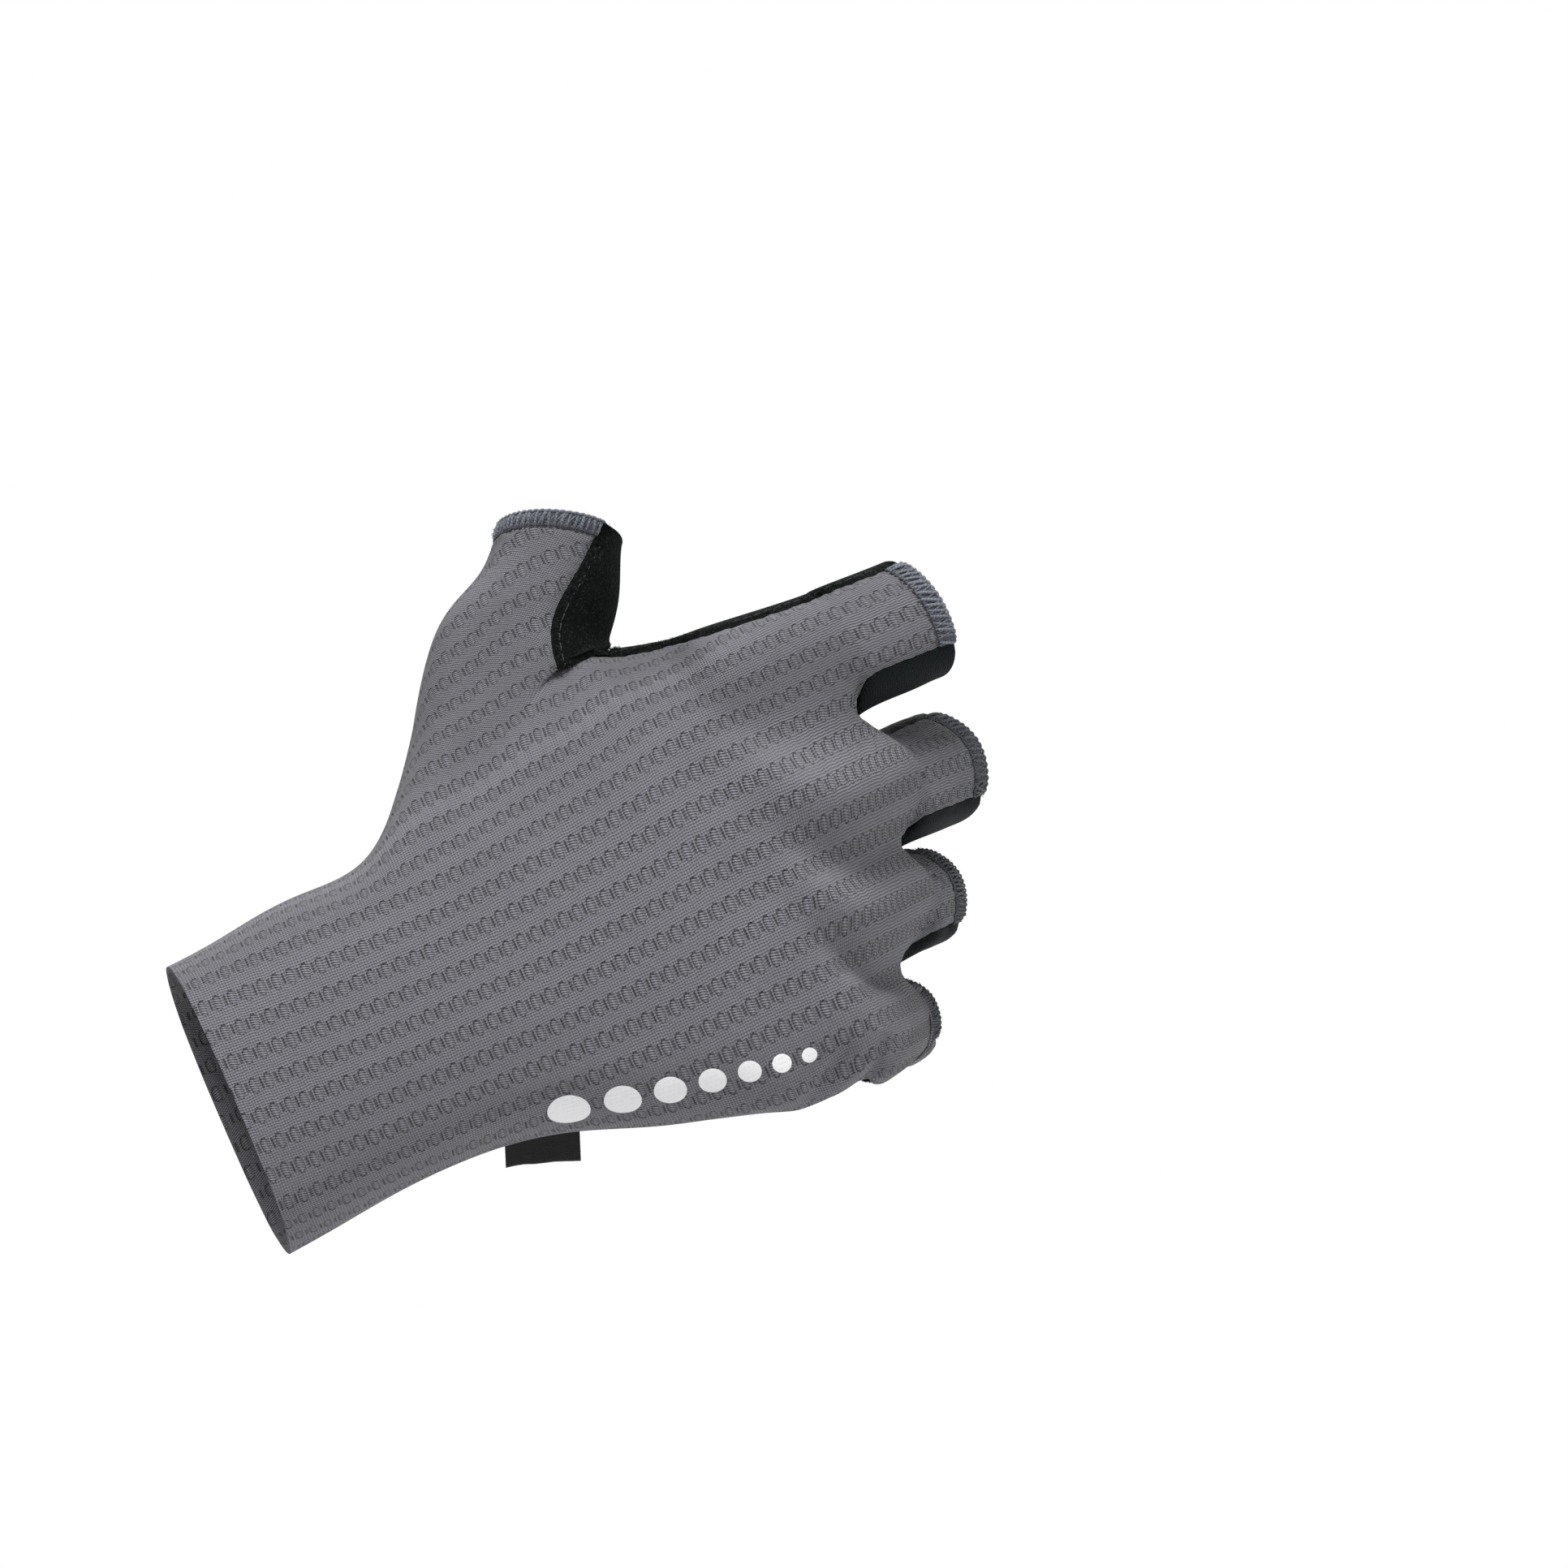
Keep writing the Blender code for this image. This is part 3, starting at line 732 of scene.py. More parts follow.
class Cloth:
    """The glove's smooth skin at one level: points, faces, the panel of each face, each corner's
    place in the flat knit, and the way out at each point."""

    def __init__(self, level):
        skin = Skin()
        rows, forks = build_palm(skin)
        build_fingers(skin, finger_starts(rows[-1], forks))
        build_thumb(skin, rows)
        self.points, self.faces, self.panels = smoothed(
            [tuple(p) for p in skin.points], skin.faces, skin.slots, level
        )
        knit, knit_faces = skin.flat_pattern()
        flat, flat_faces, _ = smoothed(
            [(u * MM, row * MM, 0.0) for u, row in knit], knit_faces, skin.slots, level
        )
        self.knit = flat[flat_faces][:, :, :2] / MM
        self.level = level
        self.edges = np.unique(np.sort(sides_of(self.faces), axis=1), axis=0)
        self.ways = self.ways_out()
        self.seam_reach = self.reach_from_seams()
        self.shape()

    def of_panel(self, name):
        """The faces of one panel."""
        return self.faces[self.panels == SLOT[name]]

    def ways_out(self):
        p = self.points[self.faces]
        face_ways = np.cross(p[:, 2] - p[:, 0], p[:, 3] - p[:, 1])
        ways = np.zeros_like(self.points)
        for k in range(4):
            np.add.at(ways, self.faces[:, k], face_ways)
        ways = unit(ways)
        a, b = self.edges.T
        for _ in range(WAY_ROUNDS[self.level]):
            near = np.zeros_like(ways)
            count = np.zeros(len(ways))
            np.add.at(near, a, ways[b])
            np.add.at(near, b, ways[a])
            np.add.at(count, a, 1)
            np.add.at(count, b, 1)
            ways = unit(ways * 2 + near / count[:, None])
        return ways

    def reach_from_seams(self):
        """How far each point near a seam lies from it, along the cloth."""
        low = np.full(len(self.points), len(PANELS))
        high = np.full(len(self.points), -1)
        for k in range(4):
            np.minimum.at(low, self.faces[:, k], self.panels)
            np.maximum.at(high, self.faces[:, k], self.panels)
        a, b = self.edges.T
        length = np.linalg.norm(self.points[a] - self.points[b], axis=1)
        reach = np.where(low != high, 0.0, 1e3)
        for _ in range(SEAM_STEPS):
            nearest = reach.copy()
            np.minimum.at(nearest, a, reach[b] + length)
            np.minimum.at(nearest, b, reach[a] + length)
            reach = nearest
        return reach

    def even_out(self, axis, pull, rounds):
        """Draws one axis of the points towards their neighbours' mean, as far as pull says."""
        near_by = self.edges[(pull[self.edges] > 0).any(axis=1)]
        here, local = np.unique(near_by, return_inverse=True)
        a, b = local.reshape(-1, 2).T
        both, other = np.concatenate([a, b]), np.concatenate([b, a])
        count = np.bincount(both, minlength=len(here))
        places, pull = self.points[here, axis], pull[here]
        for _ in range(rounds // 4 ** (FINEST - self.level) + 1):
            places += (np.bincount(both, places[other], len(here)) / count - places) * pull
        self.points[here, axis] = places

    def ease_crease(self):
        """Evens out the skin where the thumb's crease runs into the patch's lower corner. Seams move
        in depth only."""
        x, _, z = (self.points / MM).T
        off = np.hypot(x - EASED.x, z - EASED.z) / EASED.reach
        pull = np.clip(1.4 - 1.4 * off**2, 0, 1) * np.clip(0.9 - self.ways[:, 1] * 2, 0, 1)
        loose = np.clip(self.seam_reach / (1.2 * MM), 0, 1)
        for axis, share in enumerate((loose, 1.0, loose)):
            self.even_out(axis, pull * share, EASED.rounds)

    def bridge_hollows(self):
        """Draws the cloth smooth over the hollows of the back, with its seams held."""
        x, _, z = (self.points / MM).T
        facing = np.clip(0.5 - self.ways[:, 1] * 2, 0, 1) * np.clip(self.seam_reach / (1.6 * MM), 0, 1)
        for bridge in BRIDGES:
            off = np.hypot(x - bridge.x, z - bridge.z) / bridge.reach
            self.even_out(1, np.clip(1.5 - 1.5 * off**2, 0, 1) * facing, bridge.rounds)

    def shape(self):
        """Sinks the cloth towards its seams, gathers it a little there, and lays the soft folds."""
        self.ease_crease()
        self.bridge_hollows()
        reach = self.seam_reach
        dip = bpy.context.scene.glove_sizes.seam_dip * np.exp(-((reach / (1.1 * MM)) ** 2))
        x, _, z = (self.points / MM).T
        gathers = np.sin(x * 2.3 + z * 1.9 + 2 * np.sin(z * 0.31)) * np.sin(x * 0.7 - z * 0.9 + 1.3)
        gather = 0.16 * MM * gathers * np.exp(-((reach / (2.6 * MM)) ** 2))
        fold = np.zeros(len(x))
        facing = np.clip(0.35 - self.ways[:, 1], 0, 1)
        for f in FOLDS:
            line = np.array([f.x1 - f.x0, f.z1 - f.z0], float)
            span = np.linalg.norm(line)
            line /= span
            along = (x - f.x0) * line[0] + (z - f.z0) * line[1]
            off = (x - f.x0) * line[1] - (z - f.z0) * line[0]
            past = np.clip(np.abs(along - span / 2) - span / 2, 0, None)
            fold += f.height * MM * np.exp(-((off / f.width) ** 2) - (past / (f.width * 1.5)) ** 2)
        soft = 0.14 * MM * np.sin(x * 0.13 + 0.6) * np.sin(z * 0.17 + x * 0.05)
        self.points = self.points + self.ways * (gather - dip + fold * facing + soft)[:, None]


CLOTHS = {}


def cloth_at(level):
    """The skin at this level, made once."""
    level = level
    if level not in CLOTHS:
        CLOTHS[level] = Cloth(level)
    return CLOTHS[level]


def seam_moves(cloth, name, gap):
    """How far each seam point of a panel moves into the panel, so that the seam's gap shows."""
    count = len(cloth.points)
    mine = sides_of(cloth.of_panel(name))
    theirs = sides_of(cloth.faces[cloth.panels != SLOT[name]])[:, ::-1]
    seam = mine[np.isin(side_keys(mine, count), side_keys(theirs, count))]
    moves = np.zeros((count, 3))
    uses = np.zeros(count)
    onward = cloth.points[seam[:, 1]] - cloth.points[seam[:, 0]]
    for side in (0, 1):
        at = seam[:, side]
        np.add.at(moves, at, unit(np.cross(cloth.ways[at], onward)))
        np.add.at(uses, at, 1)
    mean = moves / np.maximum(uses, 1)[:, None]
    share = np.maximum(np.linalg.norm(mean, axis=1), 0.5)
    return unit(moves) * (gap / 2 / share)[:, None] * (uses > 0)[:, None]


def link(obj):
    bpy.context.scene.collection.objects.link(obj)
    return obj


def mesh_object(name, points, faces, finish, flat=None, smooth=True):
    """A mesh piece from arrays. flat gives each corner's place in the cloth or on the thread."""
    mesh = bpy.data.meshes.new(name)
    points = np.asarray(points, np.float32)
    faces = np.asarray(faces, np.int32)
    sides = faces.shape[1]
    mesh.vertices.add(len(points))
    mesh.vertices.foreach_set("co", points.ravel())
    mesh.loops.add(faces.size)
    mesh.loops.foreach_set("vertex_index", faces.ravel())
    mesh.polygons.add(len(faces))
    mesh.polygons.foreach_set("loop_start", np.arange(len(faces), dtype=np.int32) * sides)
    mesh.polygons.foreach_set("loop_total", np.full(len(faces), sides, np.int32))
    mesh.update(calc_edges=True)
    if flat is not None:
        layer = mesh.uv_layers.new(name="cloth")
        layer.data.foreach_set("uv", np.asarray(flat, np.float32).ravel())
    mesh.materials.append(finish)
    mesh.validate()
    if smooth:
        mesh.shade_smooth()
    return link(bpy.data.objects.new(name, mesh))


def panel_piece(name, wall, proud, finish, level, gap=None):
    """Cuts one panel out of the skin and gives it a wall. gap is what stays open along its seams, where
    that isn't the usual gap."""
    cloth = cloth_at(level)
    kept = cloth.panels == SLOT[name]
    faces = cloth.faces[kept]
    used = np.unique(faces)
    number = np.full(len(cloth.points), -1)
    number[used] = np.arange(len(used))
    seam_gap = bpy.context.scene.glove_sizes.seam_gap
    moves = seam_moves(cloth, name, seam_gap if gap is None else 2 * gap - seam_gap)
    outer = (cloth.points + moves + cloth.ways * proud)[used]
    inner = outer - cloth.ways[used] * wall
    faces = number[faces]
    count = len(used)
    sides = sides_of(faces)
    flat = cloth.knit[kept]
    starts = np.concatenate([flat[:, k] for k in range(4)])
    ends = np.concatenate([flat[:, (k + 1) % 4] for k in range(4)])
    rim = ~np.isin(side_keys(sides, count), side_keys(sides[:, ::-1], count))
    a, b = sides[rim].T
    rim_faces = np.stack([b, a, a + count, b + count], axis=1)
    rim_flat = np.stack([ends[rim], starts[rim], starts[rim], ends[rim]], axis=1)
    all_faces = np.concatenate([faces, faces[:, ::-1] + count, rim_faces])
    all_flat = np.concatenate([flat, flat[:, ::-1], rim_flat])
    obj = mesh_object(name + "_cloth", np.concatenate([outer, inner]), all_faces, finish, all_flat)
    obj.data.set_sharp_from_angle(angle=SHARP_ANGLE)
    return obj


def keep(piece, slot, *nodes):
    """Every piece rides on the glove's one body, and the CAD parts it replaces are hidden. slot is not
    used.
    """
    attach(piece, "root")
    if nodes:
        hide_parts(*nodes)
    return piece


class Value:
    """An output in a shader graph. The usual signs make its math nodes."""

    def __init__(self, graph, socket):
        self.graph, self.socket = graph, socket

    def __add__(self, other):
        return self.graph.math("ADD", self, other)

    def __sub__(self, other):
        return self.graph.math("SUBTRACT", self, other)

    def __rsub__(self, other):
        return self.graph.math("SUBTRACT", other, self)

    def __mul__(self, other):
        return self.graph.math("MULTIPLY", self, other)

    def __truediv__(self, other):
        return self.graph.math("DIVIDE", self, other)

    def __pow__(self, other):
        return self.graph.math("POWER", self, other)

    def __abs__(self):
        return self.graph.math("ABSOLUTE", self)

    __radd__, __rmul__ = __add__, __mul__


class Graph:
    """Short calls for building shader nodes."""

    def __init__(self, tree):
        self.tree = tree

    def node(self, kind, **settings):
        made = self.tree.nodes.new(kind)
        for name, value in settings.items():
            setattr(made, name, value)
        return made

    def put(self, socket, value):
        """Links a value to a socket, or sets the socket to a number or colour."""
        if isinstance(value, Value):
            value = value.socket
        if isinstance(value, bpy.types.NodeSocket):
            self.tree.links.new(value, socket)
        else:
            socket.default_value = value

    def values(self, node):
        """A node's outputs by name."""
        return {socket.name: Value(self, socket) for socket in node.outputs}

    def math(self, operation, *values):
        made = self.node("ShaderNodeMath", operation=operation)
        for socket, value in zip(made.inputs, values):
            self.put(socket, value)
        return Value(self, made.outputs[0])

    def sine(self, value):
        return self.math("SINE", value)

    def step(self, value, low, high):
        """0 below low, 1 above high, and smooth between them."""
        made = self.node("ShaderNodeMapRange", interpolation_type="SMOOTHSTEP")
        self.put(made.inputs["Value"], value)
        self.put(made.inputs["From Min"], low)
        self.put(made.inputs["From Max"], high)
        return Value(self, made.outputs["Result"])

    def noise(self, place, scale, detail, roughness=0.5):
        made = self.node("ShaderNodeTexNoise")
        self.put(made.inputs["Vector"], place)
        self.put(made.inputs["Scale"], scale)
        self.put(made.inputs["Detail"], detail)
        self.put(made.inputs["Roughness"], roughness)
        return self.values(made)["Fac"]

    def vector(self, kind, setting, place, amount, **settings):
        """A vector node: a place, changed by this amount."""
        made = self.node(kind, **settings)
        self.put(made.inputs[0], place)
        self.put(made.inputs[setting], amount)
        return Value(self, made.outputs[0])

    def split(self, place):
        made = self.node("ShaderNodeSeparateXYZ")
        self.put(made.inputs[0], place)
        return [Value(self, socket) for socket in made.outputs]

    def place(self):
        return self.values(self.node("ShaderNodeTexCoord"))["Object"]

    def flat(self):
        return self.values(self.node("ShaderNodeUVMap", uv_map="cloth"))["UV"]

    def effect(self, name, **inputs):
        """Places a shared effect with its own values, and gives its outputs."""
        made = self.node("ShaderNodeGroup", node_tree=effect_group(name))
        for label, value in inputs.items():
            self.put(made.inputs[label.replace("_", " ")], value)
        return self.values(made)


def build_knit(g, given):
    """Rows of small oval cells, sunk into a ground of fine stitches: a net of two slants on the thumb,
    ribs with upright columns on the hand, and plain ribs on the fingers. Along a row the flat cloth is
    measured in cells, and across it in rows."""
    along, row, _ = g.split(given["Cloth"])
    number = g.math("ROUND", row)
    off = row - number
    phase = along - number * (given["Lag"] - number * 0.024)
    beside = phase - g.math("FLOOR", phase) - 0.5
    across, reach = abs(off), abs(beside)
    squareness = 2.6
    oval = (reach / given["Cell Length"]) ** squareness + (across / given["Cell Width"]) ** squareness
    inside = 1.0 - g.step(oval, 0.60, 1.10)
    rim = 1.0 - g.step(abs(oval - 1.0), 0.10, 0.55)
    # slot marks the groove between two cells: the bump sinks it, and the shade below also paints it dark,
    # as painted shade in the groove.
    slot = (1.0 - g.step(0.5 - reach, 0.02, 0.10)) * (1.0 - g.step(across, 0.15, 0.205))

    sway = g.sine(along * (TURN * 1.9) + row * 2.4)
    drift = g.noise(given["Cloth"], 0.8, 1.0)
    level = row * given["Ribs"] + (sway * 0.35 + drift * 9.0)
    slant = along * (TURN * 4.6)
    net = g.sine(level + slant) * 0.62 + g.sine(level - slant) * 0.46
    rib = g.sine(level)
    upright = g.sine(along * (TURN * 5.6) + rib * 0.5)
    on_fingers = g.step(along, 40.0, 47.0)
    on_thumb = g.step(row, 5.5, 8.0) * (1.0 - on_fingers)
    grid = rib * (0.62 + on_fingers * 0.40) + upright * (0.52 - on_fingers * 0.40)
    ground = net * on_thumb + grid * (1.0 - on_thumb)

    loops = g.sine(off * (TURN * 12.0) + beside * 11.0)
    columns = g.math("COSINE", beside * (TURN * 3.1))
    inner = loops * 0.80 + columns * 0.30
    # side runs from a cell's left to its right. Below, the rims are painted darker on the left and lighter
    # on the right: painted shade and highlight of the sunk cells, as if lit from one side.
    side = g.step(beside, 0.06, 0.30) - 0.5
    patchy = g.noise(given["Cloth"], 1.7, 2.0)
    low_side = 1.0 - g.step(row, -3.0, 7.0)
    strength = 0.86 + (patchy * 0.45 + low_side * 0.20)

    height = ground * ((1.0 - inside) * given["Rib Depth"]) + inner * inside * given["Loop Depth"]
    height = height - inside * given["Cell Depth"] * strength
    height = height - rim * (given["Cell Depth"] * 0.5) - slot * given["Slot Depth"]
    # dark holds the knit's own pattern of loops and ribs together with painted shade. The rims are painted
    # darker on their left, and lighter on their right as a painted highlight, and the slots are painted
    # dark.
    dark = inside * (inner * -0.50) + rim * (0.16 - side * 0.74)
    dark = dark * strength + slot * 0.62
    dark = dark + (1.0 - inside * 0.8) * (0.04 - ground * 0.37)
    return height, 1.0 - dark


def build_mottle(g, given):
    """Cloudy changes of shade over the cloth, at two sizes."""
    wide = g.noise(given["Place"], 22.0, 2.0)
    fine = g.noise(given["Place"], 1400.0, 3.0)
    return fine, (wide - 0.5) * given["Wide"] + 1.0 + (fine - 0.5) * given["Fine"]


def build_twist(g, given):
    """The plies of a thread, slanted round it."""
    along, around, _ = g.split(given["Cloth"])
    wave = g.sine((along * given["Plies"] + around) * TURN)
    return wave, 0.86 + wave * 0.14


def build_weave(g, given):
    """A plain weave or fine twill of two thread directions."""
    first, second, _ = g.split(given["Cloth"])
    warp = g.sine(first * given["Along"])
    weft = g.sine(second * given["Across"])
    height = warp * weft + weft * 0.5
    return height, 0.9 + height * 0.08


# The effects that several materials share: how each is built, and its inputs with their defaults. None
# stands for a place, and every effect puts out a height and a shade
EFFECTS = {
    "knit_cells": (
        build_knit,
        {
            "Cloth": None,
            "Lag": 0.386,
            "Cell Length": 0.26,
            "Cell Width": 0.255,
            "Ribs": TURN * 11,
            "Cell Depth": 0.6,
            "Rib Depth": 0.36,
            "Loop Depth": 0.45,
            "Slot Depth": 1.1,
        },
    ),
    "mottle": (build_mottle, {"Place": None, "Wide": 0.1, "Fine": 0.1}),
    "thread_twist": (build_twist, {"Cloth": None, "Plies": 1.6}),
    "weave": (build_weave, {"Cloth": None, "Along": 60.0, "Across": 60.0}),
}


def effect_group(name):
    """The shader node group of an effect, made once."""
    tree = bpy.data.node_groups.get(name)
    if tree:
        return tree
    build, inputs = EFFECTS[name]
    tree = bpy.data.node_groups.new(name, "ShaderNodeTree")
    for label, default in inputs.items():
        kind = "NodeSocketVector" if default is None else "NodeSocketFloat"
        socket = tree.interface.new_socket(label, in_out="INPUT", socket_type=kind)
        if default is not None:
            socket.default_value = default
    for label in ("Height", "Shade"):
        tree.interface.new_socket(label, in_out="OUTPUT", socket_type="NodeSocketFloat")
    g = Graph(tree)
    start, end = g.node("NodeGroupInput"), g.node("NodeGroupOutput")
    for label, value in zip(("Height", "Shade"), build(g, g.values(start))):
        g.put(end.inputs[label], value)
    return tree


class Finish(Graph):
    """A new material: its shader with what is the same all over it, and the graph that feeds it."""

    def __init__(self, name, roughness, sheen=0.0, sheen_roughness=0.5, tint=(1, 1, 1), specular=0.3):
        self.material = bpy.data.materials.new(name)
        self.material.use_nodes = True
        self.material.node_tree.nodes.clear()
        super().__init__(self.material.node_tree)
        end = self.node("ShaderNodeOutputMaterial")
        principled = self.node("ShaderNodeBsdfPrincipled")
        self.put(end.inputs["Surface"], principled.outputs[0])
        self.shader = principled.inputs
        self.put(self.shader["Roughness"], roughness)
        self.put(self.shader["Metallic"], 0.0)
        self.put(self.shader["Sheen Weight"], sheen)
        self.put(self.shader["Sheen Roughness"], sheen_roughness)
        self.put(self.shader["Sheen Tint"], (*tint, 1.0))
        self.put(self.shader["Specular IOR Level"], specular)

    def feed(self, colour, shade, roughness=None, height=None, depth=None):
        """Feeds the shader its colour times a shade, its roughness, and a bump this deep, in metres."""
        shaded = self.vector("ShaderNodeVectorMath", "Scale", tuple(colour), shade, operation="SCALE")
        self.put(self.shader["Base Color"], shaded)
        if roughness is not None:
            self.put(self.shader["Roughness"], roughness)
        if height is not None:
            bump = self.node("ShaderNodeBump")
            self.put(bump.inputs["Distance"], depth)
            self.put(bump.inputs["Height"], height)
            self.put(self.shader["Normal"], bump.outputs[0])
        return self.material


def once(name, make):
    return bpy.data.materials.get(name) or make(name)


def knit_finish(name):
    g = Finish(name, 0.88, 0.12, 0.6)
    place = g.place()
    knit = g.effect("knit_cells", Cloth=g.flat())
    mottle = g.effect("mottle", Place=place, Wide=0.10, Fine=0.22)
    grain = 0.72 + g.noise(place, 3300.0, 1.0) * 0.56
    return g.feed(
        bpy.context.scene.glove_colours.knit,
        # The knit's shade carries its painted shade and highlight on the cells' rims and slots.
        knit["Shade"] * mottle["Shade"] * grain,
        roughness=0.80 + mottle["Height"] * 0.14,
        height=knit["Height"] + mottle["Height"] * 0.10,
        depth=0.40 * MM,
    )


def suede_finish(name):
    g = Finish(name, 0.95, 0.03, 0.4, (0.75, 0.85, 0.80), 0.06)
    place = g.place()
    mottle = g.effect("mottle", Place=place, Wide=0.6, Fine=1.6)
    nap = g.noise(place, 2600.0, 2.0, 0.6)
    speck = g.step(g.noise(place, 2300.0, 1.0), 0.56, 0.70)
    stretched = g.vector("ShaderNodeVectorMath", 1, place, (1.0, 1.0, 2.2), operation="MULTIPLY")
    brushed = g.noise(stretched, 260.0, 4.0, 0.6)
    return g.feed(
        bpy.context.scene.glove_colours.suede,
        mottle["Shade"] * (0.35 + brushed * 1.1 + speck * 2.6),
        height=nap + brushed * 0.8,
        depth=0.38 * MM,
    )


def side_finish(name):
    g = Finish(name, 0.78, 0.01, 0.5, (0.7, 0.85, 0.9), 0.10)
    place = g.place()
    turned = g.vector(
        "ShaderNodeVectorRotate", "Rotation", place, (0.3, 0.5, 0.4), rotation_type="EULER_XYZ"
    )
    weave = g.effect("weave", Cloth=turned, Along=9000.0, Across=9000.0)
    mottle = g.effect("mottle", Place=place, Wide=0.25, Fine=0.3)
    return g.feed(
        bpy.context.scene.glove_colours.side,
        weave["Shade"] * mottle["Shade"],
        roughness=0.62 + mottle["Height"] * 0.2,
        height=weave["Height"] + mottle["Height"],
        depth=0.06 * MM,
    )


def thread_finish(name, colour, share=1.0):
    """A twisted thread in this share of a colour."""
    g = Finish(name, 0.8, 0.15)
    twist = g.effect("thread_twist", Cloth=g.flat())
    mottle = g.effect("mottle", Place=g.place(), Wide=0.2, Fine=0.5)
    return g.feed(
        [c * share for c in colour],
        twist["Shade"] * mottle["Shade"],
        roughness=0.7 + mottle["Height"] * 0.2,
        height=twist["Height"] + mottle["Height"],
        depth=0.05 * MM,
    )


def hem_base_finish(name):
    """The cloth under the overlock loops: the knit's own rib, in a darker share of the thread's colour."""
    g = Finish(name, 0.9, 0.1, 0.6)
    knit = g.effect("knit_cells", Cloth=g.flat(), Cell_Depth=0.0, Loop_Depth=0.1, Slot_Depth=0.0)
    mottle = g.effect("mottle", Place=g.place(), Wide=0.2, Fine=0.4)
    return g.feed(
        [c * 0.48 for c in bpy.context.scene.glove_colours.thread],
        # The knit's shade carries its painted shade and highlight on the cells' rims and slots.
        knit["Shade"] * mottle["Shade"],
        roughness=0.8 + mottle["Height"] * 0.15,
        height=knit["Height"],
        depth=0.15 * MM,
    )


def tape_finish(name):
    g = Finish(name, 0.6, 0.05, 0.4)
    weave = g.effect("weave", Cloth=g.flat(), Along=TURN * 3.2, Across=TURN * 4.0)
    mottle = g.effect("mottle", Place=g.place(), Wide=0.3, Fine=0.3)
    return g.feed(
        bpy.context.scene.glove_colours.tape,
        weave["Shade"] * mottle["Shade"],
        roughness=0.5 + mottle["Height"] * 0.2,
        height=weave["Height"],
        depth=0.05 * MM,
    )


def print_finish(name):
    g = Finish(name, 0.45)
    knit = g.effect("knit_cells", Cloth=g.flat())
    mottle = g.effect("mottle", Place=g.place(), Wide=0.04, Fine=0.06)
    return g.feed(
        bpy.context.scene.glove_colours.mark,
        mottle["Shade"],
        roughness=0.40 + mottle["Height"] * 0.15,
        height=knit["Height"],
        depth=0.05 * MM,
    )


def tube(path, radius, sides):
    """A thread along a path: points, four-sided faces and each corner's place on the thread."""
    path = np.asarray(path, float)
    ways = unit(np.gradient(path, axis=0))
    across = [unit(np.cross(ways[0], (0.3, 0.5, 0.81)))]
    for way in ways[1:]:
        across.append(unit(across[-1] - way * np.dot(across[-1], way)))
    across = np.array(across)
    beside = np.cross(ways, across)
    turn = np.arange(sides) * TURN / sides
    radii = np.full(len(path), radius) if np.isscalar(radius) else np.asarray(radius)
    spokes = across[:, None] * np.cos(turn)[None, :, None] + beside[:, None] * np.sin(turn)[None, :, None]
    points = (path[:, None] + spokes * radii[:, None, None]).reshape(-1, 3)
    run = np.concatenate([[0], np.cumsum(np.linalg.norm(np.diff(path, axis=0), axis=1))]) / MM
    faces, flat = [], []
    for i in range(len(path) - 1):
        for k in range(sides):
            add_strip_face(faces, i * sides, (i + 1) * sides, k, sides)
            x0, x1 = run[i], run[i + 1]
            flat.append(((x0, k / sides), (x0, (k + 1) / sides), (x1, (k + 1) / sides), (x1, k / sides)))
    if sides % 2 == 0:
        for base, order in ((0, -1), ((len(path) - 1) * sides, 1)):
            for k in range(1, sides // 2):
                strip = (base + k - 1, base + k, base + sides - 1 - k, base + (sides - k) % sides)
                faces.append(strip[::order])
                flat.append(((0, 0),) * 4)
    return points, np.array(faces), np.array(flat, float)


def add_strip_face(faces, near, far, k, count):
    """Joins two rings of points by one face, from corner k on."""
    n = (k + 1) % count
    faces.append((near + k, near + n, far + n, far + k))


def tubes_object(name, paths, radius, finish, sides=6):
    """Many threads as one piece."""
    points, faces, flat, base = [], [], [], 0
    for path in paths:
        thick = radius
        if isinstance(path, tuple):
            path, thick = path
            thick = np.interp(np.linspace(0, 1, len(path)), np.linspace(0, 1, len(thick)), thick)
        p, f, t = tube(path, thick, sides)
        points.append(p)
        faces.append(f + base)
        flat.append(t)
        base += len(p)
    return mesh_object(name, np.concatenate(points), np.concatenate(faces), finish, np.concatenate(flat))


def chains(pairs):
    """Ordered lines of points from unordered edges."""
    ties = {}
    for a, b in pairs:
        ties.setdefault(int(a), []).append(int(b))
        ties.setdefault(int(b), []).append(int(a))
    left = set(ties)
    lines = []
    while left:
        ends = sorted(v for v in left if len(ties[v]) == 1)
        here = ends[0] if ends else min(left)
        line = [here]
        left.discard(here)
        while True:
            onward = [v for v in ties[here] if v in left]
            if not onward:
                break
            here = onward[0]
            line.append(here)
            left.discard(here)
        if len(line) > 2:
            lines.append(line)
    return lines


def seam_between(cloth, first, second):
    """The lines of points between two panels."""
    count = len(cloth.points)
    mine, theirs = (
        side_keys(np.sort(sides_of(cloth.of_panel(name)), axis=1), count) for name in (first, second)
    )
    shared = np.intersect1d(mine, theirs)
    return chains(zip(shared // count, shared % count))


def open_rim(cloth, name):
    """The lines of points on a panel's free edge."""
    count = len(cloth.points)
    single, uses = np.unique(side_keys(np.sort(sides_of(cloth.faces), axis=1), count), return_counts=True)
    mine = np.sort(sides_of(cloth.of_panel(name)), axis=1)
    return chains(mine[np.isin(side_keys(mine, count), single[uses == 1])])


